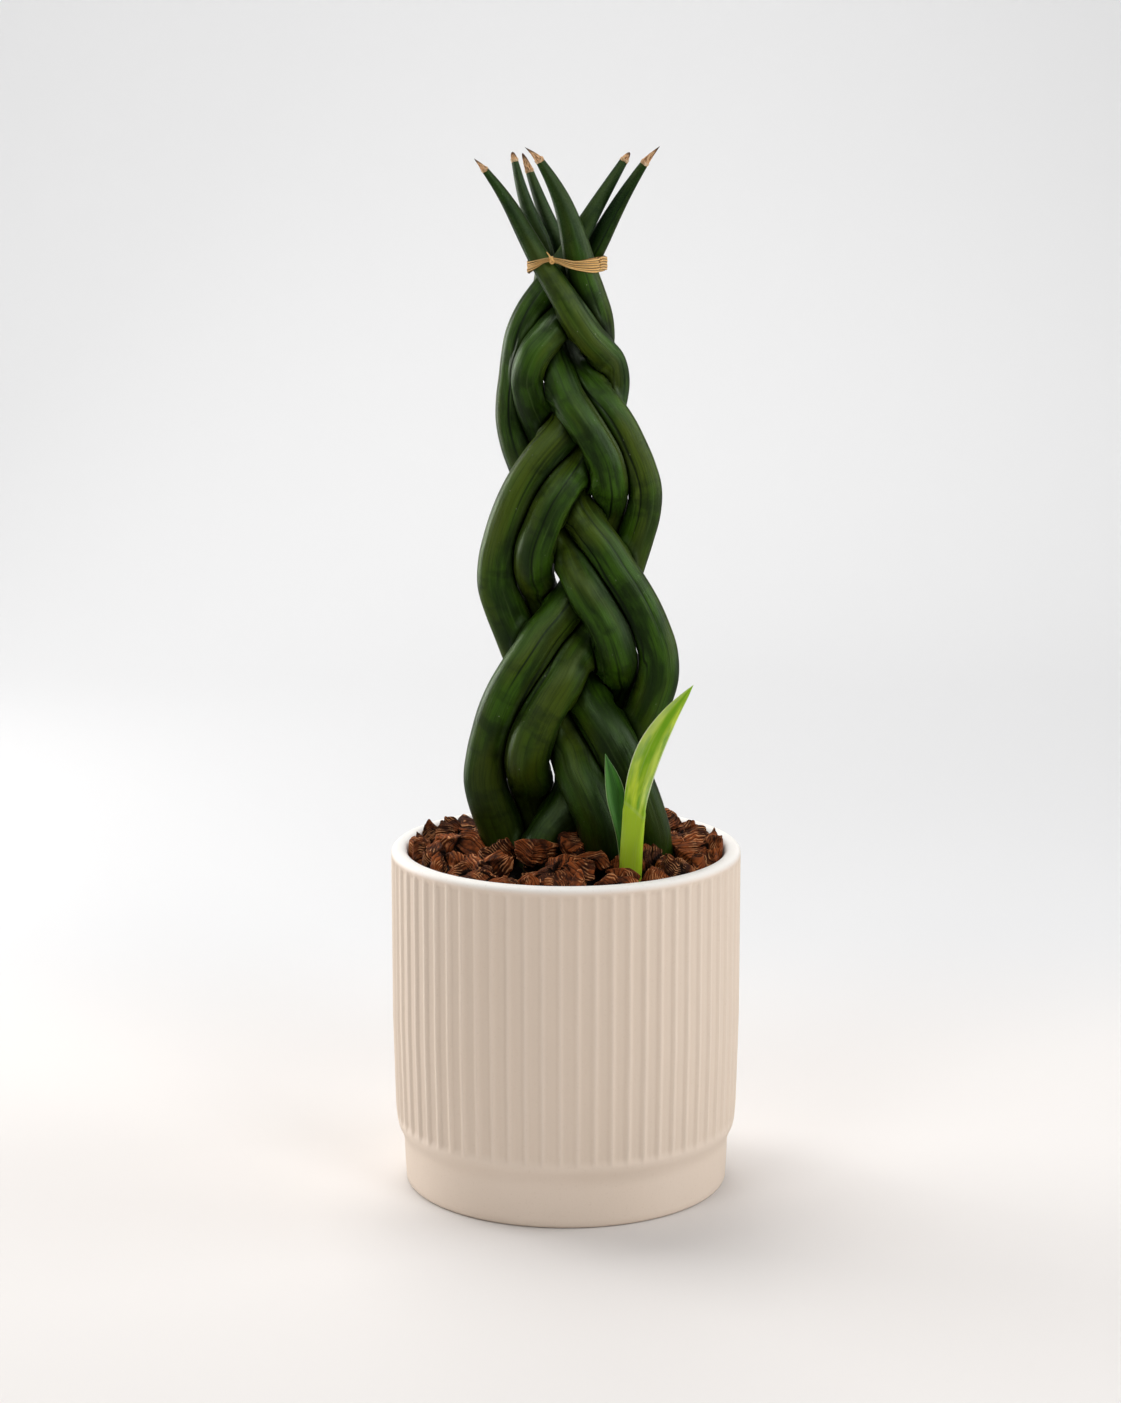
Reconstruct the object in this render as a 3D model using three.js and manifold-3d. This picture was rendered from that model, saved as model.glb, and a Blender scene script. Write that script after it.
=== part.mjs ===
// A braided cylindrical snake plant: six spear leaves plaited as three pairs and tied with raffia,
// with a young offset beside them, in a fluted ceramic pot topped with bark chips.
// Millimetres, +Z up. The origin is the centre of the pot's underside and the plant's front faces -Y.
import * as THREE from "three";
import { mergeVertices } from "three/addons/utils/BufferGeometryUtils.js";
import Module from "manifold-3d";

// ---- Pot ----
const POT_HEIGHT = 158;
const POT_RADIUS = 80; // over the crests of the flutes
const WALL = 7.5;
const FLUTES = 64;
const FLUTE_DEPTH = 1.1;
const FLUTE_TURN = THREE.MathUtils.degToRad(-1.9); // first crest, round from the front
const RIM_SMOOTH = 2.6; // plain rounded rim above the flutes
const FLUTES_START = 27.5;
const FOOT_SHOULDER = 78.1; // radius just below the flutes, over a foot that is drawn in
const FOOT_RADIUS = 75.2;
const FOOT_TOP = 21.5;
const FOOT_EDGE = 1.6; // rounding of the foot's lower edge
const FOOT_RECESS = 2.5; // hollow under the foot, inside its standing ring
const FOOT_RING_INNER = 60;
const FLOOR_THICKNESS = 9;
const DRAIN_RADIUS = 7;
const CUP_SIDES = 48;

// ---- Filling ----
const CLEARANCE = 0.35; // between the filling and the pot or the stems that stand in it
const MIX_TOP = 128; // potting mix below, bark above
const BARK_BED_TOP = 151; // closed bed that the bark chips are sunk in
const BARK_DOME = 8; // how much higher the chips lie round the plait than at the wall
const CHIP_COUNT = 46;
const CHIP_SEED = 20260;
const CHIP_LENGTH = [15, 27];
const CHIP_WIDTH = [10, 17];
const CHIP_THICKNESS = [7, 11];
const CHIP_STAND_OFF = 9; // from a leaf's middle to the middle of a chip
const CHIP_INSET = 5.5; // from the pot's wall to the middle of the outermost chip

// ---- Plaited leaves ----
const LEAF_SIDES = 12;
const LEAF_RIDGES = 6;
const RIDGE_DEPTH = 0.035; // share of the radius
const RING_STEP = 11; // distance between the rings of a leaf
const LEAF_GAP = 0.85; // between leaves of different strands
const STRAND_GAP = 0.6; // between the two leaves of a strand
// Radius of a leaf by distance from its tip: a dry point, a cone, then a slowly thickening spear.
const LEAF_TAPER = [
  [0, 0],
  [2.5, 0.8],
  [8, 1.9],
  [16, 2.5],
  [27, 3.55],
  [40, 4.4],
  [54, 5.1],
  [75, 6.2],
  [98, 6.8],
  [140, 7.2],
  [180, 7.8],
  [215, 8.4],
  [270, 9.2],
  [320, 10],
  [380, 10.2],
];
const CONE_START = [18, 48]; // from the tip: where a plump cone grows fatter than the taper
const CONE_END = [40, 110]; // and where it runs out into the spear
// Course of each leaf's centre line as [x, y, z], from its buried foot to its tip, and how much more
// plump than the taper its cone is. The first two leaves, the next two and the last two are the three
// strands of a flat plait. A strand passes in front on its way from an outer turn to the middle, and
// behind on its way from the middle to the other side.
const LEAVES = [
  {
    name: "leaf_front_left",
    thickness: 0.98,
    plump: 0,
    course: [
      [42, -1, 112],
      [42.5, -1, 138],
      [39.5, -1, 162],
      [34, -9.5, 184],
      [24.5, -9.5, 201],
      [15, -3.5, 217],
      [1, 8.5, 243],
      [-9.5, 9.5, 264],
      [-14, -3, 287],
      [-11, -10, 304],
      [-3, -5.5, 321],
      [6.5, 3, 332],
      [17.5, 10.5, 350],
      [19, 0, 369],
      [9.5, -8, 390],
      [-1.5, -9, 410],
      [-11, -8, 424],
      [-26.5, -12, 451],
      [-39.5, -15, 468],
    ],
  },
  {
    name: "leaf_front_centre",
    thickness: 1.04,
    plump: 0.3,
    course: [
      [18, -2, 112],
      [17.5, -2, 138],
      [16, -8, 161],
      [10.5, -10.5, 181],
      [5, -7.5, 195],
      [-9, 4.5, 224],
      [-22.5, 10.5, 255],
      [-28.8, 3, 287],
      [-26.5, -10, 309],
      [-15, -6, 333],
      [-1.5, 4.5, 351],
      [9, 10.5, 372],
      [6, 6, 390],
      [6, -3, 411],
      [5.5, -8, 424],
      [-2.5, -13, 451],
      [-16.5, -18, 474],
    ],
  },
  {
    name: "leaf_right_inner",
    thickness: 0.97,
    plump: 0.15,
    course: [
      [-17, -6, 112],
      [-15, -8, 138],
      [-10.5, -7.5, 161],
      [3, 1, 179],
      [15.5, 10, 203],
      [23.8, 4, 227],
      [23.8, -4, 242],
      [17, -9.5, 262],
      [9, -10, 276],
      [-0.5, -4.5, 294],
      [-12, 6.5, 316],
      [-20.5, 10, 339],
      [-23.6, 5, 367],
      [-20.7, -1, 389],
      [-9.5, -2, 405],
      [0, 1, 423],
      [15.5, 4, 450],
      [28, 6, 470],
    ],
  },
  {
    name: "leaf_right_outer",
    thickness: 0.98,
    plump: 0,
    course: [
      [2, 2, 112],
      [3, 2, 138],
      [5.5, 2, 156],
      [23.5, 10.5, 193],
      [34.5, 7.5, 218],
      [39.2, 3, 242],
      [38, -8.5, 261],
      [30, -10, 278],
      [17, -4, 296],
      [2, 8.5, 322],
      [-9.5, 5, 346],
      [-15.5, -5, 366],
      [-12, -7, 386],
      [-2.5, -2, 400],
      [3.5, 4, 411],
      [9, 4, 423],
      [24.5, 0, 450],
      [40, -3, 473],
    ],
  },
  {
    name: "leaf_back_left",
    thickness: 1,
    plump: 0,
    course: [
      [-28, 5, 112],
      [-29, 5, 138],
      [-30.5, 5, 161],
      [-34.2, 4, 188],
      [-33.2, -4, 211],
      [-29.5, -10.5, 228],
      [-21, -7, 244],
      [-10, 0, 258],
      [1, 7, 272],
      [11, 10.5, 290],
      [19.5, -4, 318],
      [16.5, -8.5, 336],
      [7.5, -10, 353],
      [-1.5, -3.5, 369],
      [-6.5, 8.5, 392],
      [-7.5, 6.5, 423],
      [-18.5, 10, 448],
      [-23.5, 12, 469],
    ],
  },
  {
    name: "leaf_back_centre",
    thickness: 1,
    plump: 0,
    course: [
      [-8, 8, 112],
      [-8, 9, 138],
      [-8, 9, 158],
      [-12.5, 6, 178],
      [-16.3, -4, 198],
      [-12.5, -8.5, 215],
      [-6, -10.5, 227],
      [2, -8.5, 239],
      [12, -1.5, 255],
      [25.5, 9.5, 279],
      [32.6, 8, 306],
      [32.2, -2, 331],
      [24.5, -9.5, 352],
      [15.5, -4, 365],
      [3, 7, 384],
      [-2, 10, 404],
      [-1, 15, 422],
      [-10.5, 14, 445],
      [-19, 18, 468],
    ],
  },
];

// ---- Settling of the plait ----
const SETTLE_STEP = 5; // distance between the beads that a leaf is settled by
const EASING_ROUNDS = 500; // rounds in which the leaves bend evenly and press each other apart
const PRESSING_ROUNDS = 200; // rounds in which they are only pressed apart
const PULL = { x: 0.06, y: 0.004 }; // towards the course
const PULL_BEHIND = 0.35; // share of the sideways pull where a leaf runs behind the others
const BEND = { x: 0.1, y: 0.2 }; // towards an even bend
const GIVE = { x: 0.1, y: 0.3 }; // how freely two touching leaves move apart
const PUSH_SPREAD = 5; // how often a push is shared out to the beads beside it
const DRAW = 0.8; // how strongly the two leaves of a strand are drawn together
const DRAW_REACH = 6; // widest gap between them over which they are
const PLAIT_SPAN = [150, 405]; // z over which the strands are plaited

// ---- Raffia tie ----
const TIE_Z = 422.4;
const TIE_TILT = 0.07; // it rises towards +X
const TIE_HEIGHT = [3.2, 6.2]; // at the knot and at the far side
const TIE_THICKNESS = 0.9;
const TIE_GRIP = 4.4; // from its middle, how far up and down a leaf holds it off
const TIE_SIDES = 44;
const KNOT_ANGLE = THREE.MathUtils.degToRad(-106); // round from +X, seen from above
const KNOT_SIZE = [2.6, 1.9, 3.4];
const TIE_END = { length: 5, width: 1.5, thickness: 0.8 };

// ---- Young offset ----
const PUP_SIDES = 14;
const PUP_TALL = {
  name: "pup_leaf_tall",
  facing: [-0.75, -1, 0],
  course: [
    [27.5, -37, 124],
    [28.6, -38, 150],
    [29.8, -39, 172],
    [32.4, -40, 193],
    [37.8, -41, 211],
    [45.6, -42, 226],
    [56, -43, 241],
  ],
  // distance from the foot, half width, half thickness, depth of the channel
  section: [
    [0, 4.6, 3.6, 0],
    [26, 5.2, 4, 0.3],
    [48, 5.3, 3.4, 1.2],
    [62, 5.8, 2.2, 2.4],
    [75, 6.7, 1.4, 3.2],
    [90, 6.6, 1.1, 3],
    [103, 5, 1, 2.2],
    [113, 3.1, 0.8, 1.2],
    [120, 1.6, 0.6, 0.4],
    [126, 0.6, 0.5, 0.1],
  ],
};
const PUP_SHORT = {
  name: "pup_leaf_short",
  facing: [0.5, -1, 0],
  course: [
    [26.5, -30.5, 128],
    [25.6, -30.5, 150],
    [24, -31, 170],
    [21.6, -32, 190],
    [17.4, -33, 208],
  ],
  section: [
    [0, 1.6, 1.4, 0],
    [22, 1.3, 1.2, 0.1],
    [36, 1.4, 1.1, 0.3],
    [43, 2, 1.1, 0.6],
    [51, 3.4, 1, 1.1],
    [59, 4.6, 0.95, 1.4],
    [67, 4.1, 0.9, 1.2],
    [74, 2.4, 0.75, 0.7],
    [81, 0.6, 0.5, 0.1],
  ],
};

// ---- Colours ----
const CREAM_CERAMIC = { color: 0xe6dccf, roughness: 0.6 };
const DARK_MIX = { color: 0x33231a, roughness: 1 };
const RED_BARK = { color: 0x6b3a25, roughness: 0.95 };
const LEAF_GREEN = { color: 0x23401b, roughness: 0.5 };
const RAFFIA = { color: 0xc8975a, roughness: 0.8 };
const PUP_GREEN = { color: 0x86b02e, roughness: 0.45 };
const PUP_DARK_GREEN = { color: 0x33663a, roughness: 0.45 };

const UP = new THREE.Vector3(0, 0, 1);
const FRONT = new THREE.Vector3(0, -1, 0);

const wasm = await Module();
wasm.setup();

// A closed three.js geometry as a solid that can be joined and cut.
function solidOf(geometry) {
  const bare = geometry.clone();
  bare.deleteAttribute("normal");
  bare.deleteAttribute("uv");
  const merged = mergeVertices(bare, 1e-4);
  const corners = [];
  for (let i = 0; i < merged.index.count; i += 3) {
    const [a, b, c] = [0, 1, 2].map((k) => merged.index.getX(i + k));
    if (a !== b && b !== c && c !== a) corners.push(a, b, c);
  }
  return new wasm.Manifold(
    new wasm.Mesh({
      numProp: 3,
      vertProperties: merged.getAttribute("position").array,
      triVerts: new Uint32Array(corners),
    }),
  );
}

// A solid back as a three.js geometry; crumbs that a cut left loose are dropped.
function geometryOf(solid) {
  const bodies = solid.decompose().sort((a, b) => b.volume() - a.volume());
  const mesh = bodies[0].getMesh();
  const geometry = new THREE.BufferGeometry();
  geometry.setAttribute(
    "position",
    new THREE.BufferAttribute(mesh.vertProperties, 3),
  );
  geometry.setIndex(new THREE.BufferAttribute(mesh.triVerts, 1));
  return geometry;
}

function meshOf(name, geometry, finish) {
  const mesh = new THREE.Mesh(geometry, new THREE.MeshStandardMaterial(finish));
  mesh.name = name;
  return mesh;
}

// A turned body about +Z from [radius, z] points.
function turned(profile, sides) {
  const points = profile.map(([radius, z]) => new THREE.Vector2(radius, z));
  return new THREE.LatheGeometry(points, sides).rotateX(Math.PI / 2);
}

// The value at a distance in rows of [distance, value, value ...], by straight lines between rows.
function rowAt(rows, distance) {
  const last = rows.length - 1;
  const above = rows.findIndex((row) => row[0] >= distance);
  if (above === 0) return rows[0].slice(1);
  if (above < 0) return rows[last].slice(1);
  const [low, high] = [rows[above - 1], rows[above]];
  const share = (distance - low[0]) / (high[0] - low[0]);
  return low.slice(1).map((v, k) => THREE.MathUtils.lerp(v, high[k + 1], share));
}

// Random numbers from 0 to 1 that are the same on every run.
function makeRandom(seed) {
  let state = seed >>> 0;
  return () => {
    state = (Math.imul(state, 1664525) + 1013904223) >>> 0;
    return state / 2 ** 32;
  };
}

// Bends a straight body, turned about its own Y axis, along a curve. The section function gives the
// sideways and forward offsets of a point of the body at a distance along the curve.
function bentAlong(geometry, curve, facing, section) {
  const length = curve.getLength();
  const position = geometry.getAttribute("position");
  for (let i = 0; i < position.count; i++) {
    const distance = position.getY(i);
    const inside = THREE.MathUtils.clamp(distance, 0, length);
    const along = curve.getTangentAt(inside / length);
    const side = new THREE.Vector3().crossVectors(along, facing).normalize();
    const front = new THREE.Vector3().crossVectors(side, along);
    const [sideways, forwards] = section(distance, position.getX(i), position.getZ(i));
    const point = curve
      .getPointAt(inside / length)
      .addScaledVector(along, distance - inside)
      .addScaledVector(side, sideways)
      .addScaledVector(front, forwards);
    position.setXYZ(i, point.x, point.y, point.z);
  }
  return geometry;
}

// ---- Pot ----

// The fluted band: a turned body whose side is pulled in between the crests of the flutes. Its ends
// are sunk in the plain body, so that the flutes run out softly.
function flutedBand() {
  // radius over the crests, z, and how deep the flutes are cut there
  const rows = [
    [0, FLUTES_START, 0],
    [FOOT_SHOULDER - 0.5, FLUTES_START, 0],
    [FOOT_SHOULDER + 0.4, FLUTES_START + 3, 0.5],
    [FOOT_SHOULDER + 0.8, FLUTES_START + 8, 1],
    [POT_RADIUS, POT_HEIGHT / 2, 1],
    [POT_RADIUS, POT_HEIGHT - RIM_SMOOTH - 3, 1],
    [POT_RADIUS - 0.6, POT_HEIGHT - RIM_SMOOTH - 0.2, 0],
    [0, POT_HEIGHT - RIM_SMOOTH - 0.2, 0],
  ];
  const perFlute = [0, 0.32, 0.68]; // corners round one flute, as shares of its pitch
  const cut = [0, 1, 1]; // how far each corner is cut in
  const sides = FLUTES * perFlute.length;
  const pitch = (2 * Math.PI) / FLUTES;
  const band = turned(rows, sides);
  const position = band.getAttribute("position");
  for (let i = 0; i < position.count; i++) {
    const [crest, z, depth] = rows[i % rows.length];
    const corner = Math.floor(i / rows.length) % sides;
    const place = corner % perFlute.length;
    const angle =
      FLUTE_TURN -
      Math.PI / 2 +
      pitch * (Math.floor(corner / perFlute.length) + perFlute[place]);
    const radius = crest - FLUTE_DEPTH * depth * cut[place];
    position.setXYZ(i, radius * Math.cos(angle), radius * Math.sin(angle), z);
  }
  return band;
}

// The plain body: the foot with its rounded shoulder, a core inside the band, and the rim.
function plainBody() {
  const edge = [0, 0.4, 1].map((share) => {
    const angle = (share * Math.PI) / 2;
    return [
      FOOT_RADIUS - 0.9 - FOOT_EDGE * (1 - Math.sin(angle)),
      FOOT_EDGE * (1 - Math.cos(angle)),
    ];
  });
  const core = FOOT_SHOULDER - 1.6;
  const rimBottom = POT_HEIGHT - RIM_SMOOTH;
  return turned(
    [
      [0, 0],
      ...edge,
      [FOOT_RADIUS, FOOT_TOP],
      [FOOT_RADIUS + 1, FOOT_TOP + 2.4],
      [FOOT_SHOULDER - 0.5, FOOT_TOP + 5],
      [FOOT_SHOULDER, FLUTES_START + 1.5],
      [core, FLUTES_START + 5],
      [core, rimBottom - 4],
      [POT_RADIUS - 0.1, rimBottom - 0.6],
      [POT_RADIUS - 0.1, rimBottom + 0.4],
      [POT_RADIUS - 0.9, POT_HEIGHT - 0.7],
      [POT_RADIUS - 2.4, POT_HEIGHT],
      [0, POT_HEIGHT],
    ],
    FLUTES,
  );
}

// The hollow of the cup, with its flared lip standing past the rim so that it cuts clean.
function cupHollow() {
  const inner = POT_RADIUS - WALL;
  const footInner = FOOT_RADIUS - WALL;
  return turned(
    [
      [0, FLOOR_THICKNESS],
      [footInner - 4, FLOOR_THICKNESS],
      [footInner, FLOOR_THICKNESS + 5],
      [footInner, FOOT_TOP],
      [inner, FLUTES_START + 6],
      [inner, POT_HEIGHT - 2],
      [inner + 0.5, POT_HEIGHT - 0.7],
      [inner + 1.8, POT_HEIGHT + 0.4],
      [inner + 1.8, POT_HEIGHT + 4],
      [0, POT_HEIGHT + 4],
    ],
    CUP_SIDES,
  );
}

function potGeometry() {
  const recess = turned(
    [
      [0, -1],
      [FOOT_RING_INNER + 1.4, -1],
      [FOOT_RING_INNER, FOOT_RECESS],
      [0, FOOT_RECESS],
    ],
    CUP_SIDES,
  );
  const drain = new THREE.CylinderGeometry(DRAIN_RADIUS, DRAIN_RADIUS, 4 * FLOOR_THICKNESS, 24);
  drain.rotateX(Math.PI / 2);
  const body = solidOf(plainBody()).add(solidOf(flutedBand()));
  return geometryOf(
    body
      .subtract(solidOf(cupHollow()))
      .subtract(solidOf(recess))
      .subtract(solidOf(drain)),
  );
}

// ---- Plaited leaves ----

function leafRadius(leaf, fromTip) {
  const cone =
    THREE.MathUtils.smoothstep(fromTip, ...CONE_START) *
    (1 - THREE.MathUtils.smoothstep(fromTip, ...CONE_END));
  return leaf.thickness * (1 + leaf.plump * cone) * rowAt(LEAF_TAPER, fromTip)[0];
}

// Beads strung along a leaf's course, each as thick as the leaf is there.
function stringBeads(leaf) {
  const curve = new THREE.CatmullRomCurve3(
    leaf.course.map((point) => new THREE.Vector3(...point)),
    false,
    "centripetal",
  );
  const length = curve.getLength();
  const count = Math.round(length / SETTLE_STEP);
  leaf.beads = curve.getSpacedPoints(count);
  leaf.goal = leaf.beads.map((bead) => bead.clone());
  leaf.radii = leaf.beads.map((_, i) => leafRadius(leaf, length * (1 - i / count)));
}

// Draws the beads of a leaf towards its course and towards an even bend.
function easeLeaf({ beads, goal }) {
  for (let i = 1; i < beads.length - 1; i++) {
    const pull = goal[i].y < 2 ? 1 : PULL_BEHIND;
    for (const axis of ["x", "y"]) {
      const even = (beads[i - 1][axis] + beads[i + 1][axis]) / 2;
      beads[i][axis] +=
        pull * PULL[axis] * (goal[i][axis] - beads[i][axis]) + BEND[axis] * (even - beads[i][axis]);
    }
  }
}

// Adds up, for each bead of two leaves, how far it has to move to clear the other leaf.
function addPushes(one, other, leafGap) {
  const apart = new THREE.Vector3();
  one.beads.forEach((bead, i) =>
    other.beads.forEach((neighbour, j) => {
      const wanted = one.radii[i] + other.radii[j] + leafGap;
      if (Math.abs(bead.z - neighbour.z) > wanted) return;
      apart.subVectors(bead, neighbour);
      const missing = wanted - apart.length();
      if (missing <= 0) return;
      apart.setLength(missing);
      one.push[i].add(apart);
      other.push[j].sub(apart);
    }),
  );
}

// Draws the two leaves of one strand against each other where there is a gap between them.
function drawTogether(one, other) {
  const across = new THREE.Vector3();
  one.beads.forEach((bead, i) => {
    if (bead.z < PLAIT_SPAN[0] || bead.z > PLAIT_SPAN[1]) return;
    const distances = other.beads.map((neighbour) => neighbour.distanceTo(bead));
    const j = distances.indexOf(Math.min(...distances));
    const gap = distances[j] - one.radii[i] - other.radii[j] - STRAND_GAP;
    if (gap <= 0 || gap > DRAW_REACH) return;
    across.subVectors(other.beads[j], bead).setLength((DRAW * gap) / 2);
    bead.x += across.x;
    bead.y += across.y;
    other.beads[j].x -= across.x;
    other.beads[j].y -= across.y;
  });
}

// Moves a leaf by its pushes, shared out along it so that it bends and doesn't kink.
function applyPushes({ beads, push }) {
  for (let pass = 0; pass < PUSH_SPREAD; pass++) {
    const before = push.map((v) => v.clone());
    const last = push.length - 1;
    push.forEach((v, i) => {
      v.multiplyScalar(0.5);
      v.addScaledVector(before[Math.max(0, i - 1)], 0.25);
      v.addScaledVector(before[Math.min(last, i + 1)], 0.25);
    });
  }
  beads.forEach((bead, i) => {
    bead.x += GIVE.x * push[i].x;
    bead.y += GIVE.y * push[i].y;
  });
}

// Lets the six leaves lie against each other without overlapping, as they do in the plait.
function settlePlait(leaves) {
  leaves.forEach(stringBeads);
  for (let round = 0; round < EASING_ROUNDS + PRESSING_ROUNDS; round++) {
    if (round < EASING_ROUNDS) {
      leaves.forEach(easeLeaf);
      for (const first of [0, 2, 4]) drawTogether(leaves[first], leaves[first + 1]);
    }
    for (const leaf of leaves) leaf.push = leaf.beads.map(() => new THREE.Vector3());
    for (let i = 0; i < leaves.length; i++)
      for (let j = i + 1; j < leaves.length; j++) {
        const sameStrand = i % 2 === 0 && j === i + 1;
        addPushes(leaves[i], leaves[j], sameStrand ? STRAND_GAP : LEAF_GAP);
      }
    leaves.forEach(applyPushes);
  }
  for (const leaf of leaves)
    leaf.curve = new THREE.CatmullRomCurve3(leaf.beads, false, "centripetal");
}

// One spear leaf: a slender cone with shallow lengthwise ridges. Growth makes it fatter all round,
// for the hole that it stands in.
function leafGeometry(leaf, growth = 0) {
  const length = leaf.curve.getLength();
  const pointed = LEAF_TAPER.map(([fromTip]) => fromTip).filter((d) => d > 0 && d < 60);
  const rest = Math.round((length - 60) / RING_STEP);
  const spaced = Array.from({ length: rest }, (_, i) => 60 + ((length - 60) * i) / rest);
  const distances = [...pointed, ...spaced, length + growth];
  const profile = [
    [0, -growth],
    ...distances.reverse().map((d) => [leafRadius(leaf, d) + growth, length - d]),
    [0, length + growth],
  ];
  const spear = new THREE.LatheGeometry(
    profile.map(([radius, along]) => new THREE.Vector2(radius, along)),
    LEAF_SIDES,
  );
  return bentAlong(spear, leaf.curve, FRONT, (distance, x, z) => {
    const swell = 1 - RIDGE_DEPTH * (0.5 - 0.5 * Math.cos(LEAF_RIDGES * Math.atan2(x, z)));
    return [x * swell, z * swell];
  });
}

// ---- Young offset ----

// A channelled blade on a round stalk, its channel open towards where it faces.
function bladeGeometry(blade, growth = 0) {
  const curve = new THREE.CatmullRomCurve3(
    blade.course.map((point) => new THREE.Vector3(...point)),
    false,
    "centripetal",
  );
  const length = curve.getLength();
  const rings = Math.round(length / 5.5);
  const profile = [[0, -growth]];
  for (let i = 0; i < rings; i++) profile.push([1, -growth + ((length + growth) * i) / rings]);
  profile.push([0, length + growth]);
  const straight = new THREE.LatheGeometry(
    profile.map(([radius, along]) => new THREE.Vector2(radius, along)),
    PUP_SIDES,
  );
  const facing = new THREE.Vector3(...blade.facing);
  return bentAlong(straight, curve, facing, (distance, x, z) => {
    const [width, thickness, channel] = rowAt(blade.section, distance);
    return [x * (width + growth), z * (thickness + growth) + channel * (x * x - 0.5)];
  });
}

// ---- Filling ----

function cutByStems(solid, stems) {
  return stems.reduce((left, stem) => left.subtract(stem), solid);
}

function mixGeometry(stems) {
  const inner = POT_RADIUS - WALL - CLEARANCE;
  const footInner = FOOT_RADIUS - WALL - CLEARANCE;
  const bottom = FLOOR_THICKNESS + CLEARANCE;
  const mix = turned(
    [
      [0, bottom],
      [footInner - 4, bottom],
      [footInner, bottom + 5],
      [footInner, FOOT_TOP + CLEARANCE],
      [inner, FLUTES_START + 6 + CLEARANCE],
      [inner, MIX_TOP - CLEARANCE],
      [0, MIX_TOP - CLEARANCE],
    ],
    CUP_SIDES,
  );
  return geometryOf(cutByStems(solidOf(mix), stems));
}

// One chip: a block with crooked corners.
function chipGeometry(random) {
  const between = ([low, high]) => THREE.MathUtils.lerp(low, high, random());
  const size = [between(CHIP_LENGTH), between(CHIP_WIDTH), between(CHIP_THICKNESS)];
  const chip = mergeVertices(
    new THREE.BoxGeometry(1, 1, 1).deleteAttribute("normal").deleteAttribute("uv"),
  );
  const position = chip.getAttribute("position");
  for (let i = 0; i < position.count; i++) {
    const corner = [position.getX(i), position.getY(i), position.getZ(i)];
    position.setXYZ(i, ...corner.map((c, k) => size[k] * c * (0.62 + 0.6 * random())));
  }
  return chip;
}

// Chips strewn over the bed in a sunflower's order, so that they cover it evenly, each laid askew.
// None lies where a leaf stands.
function strewnChips(feet) {
  const random = makeRandom(CHIP_SEED);
  const reach = POT_RADIUS - WALL - CHIP_INSET;
  const goldenAngle = Math.PI * (3 - Math.sqrt(5));
  const chips = [];
  for (let i = 0; i < CHIP_COUNT; i++) {
    const radius = reach * Math.sqrt((i + 0.5) / CHIP_COUNT) + 4 * (random() - 0.5);
    const round = i * goldenAngle + 0.25 * (random() - 0.5);
    const height = BARK_BED_TOP + 1 + BARK_DOME * (1 - radius / reach) + 4 * random();
    const spot = new THREE.Vector2(radius * Math.cos(round), radius * Math.sin(round));
    const chip = chipGeometry(random);
    const tilt = new THREE.Euler(
      0.9 * (random() - 0.5),
      0.9 * (random() - 0.5),
      2 * Math.PI * random(),
    );
    chip.applyMatrix4(new THREE.Matrix4().makeRotationFromEuler(tilt));
    if (feet.some((foot) => foot.distanceTo(spot) < CHIP_STAND_OFF)) continue;
    chips.push(solidOf(chip.translate(spot.x, spot.y, height)));
  }
  return chips;
}

function barkGeometry(stems, feet) {
  const inner = POT_RADIUS - WALL - CLEARANCE;
  const column = (bottom, top) =>
    solidOf(turned([[0, bottom], [inner, bottom], [inner, top], [0, top]], CUP_SIDES));
  const bed = column(MIX_TOP, BARK_BED_TOP);
  const heap = strewnChips(feet).reduce((left, chip) => left.add(chip), bed);
  const inPot = heap.intersect(column(MIX_TOP, POT_HEIGHT + 20));
  return geometryOf(cutByStems(inPot, stems));
}

// ---- Raffia tie ----

// How far the leaves reach from the neck's centre towards a bearing, anywhere in the tie's height.
function neckReach(leaves, centre, bearing) {
  const outward = new THREE.Vector2(Math.cos(bearing), Math.sin(bearing));
  let reach = 0;
  for (const leaf of leaves)
    leaf.beads.forEach((bead, i) => {
      if (Math.abs(bead.z - TIE_Z) > TIE_GRIP) return;
      const along = leaf.curve.getTangentAt(i / (leaf.beads.length - 1));
      const lean = outward.x * along.x + outward.y * along.y;
      const slant = Math.sqrt(1 + (lean / along.z) ** 2);
      const offset = outward.x * (bead.x - centre.x) + outward.y * (bead.y - centre.y);
      reach = Math.max(reach, offset + leaf.radii[i] * slant);
    });
  return reach;
}

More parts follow.
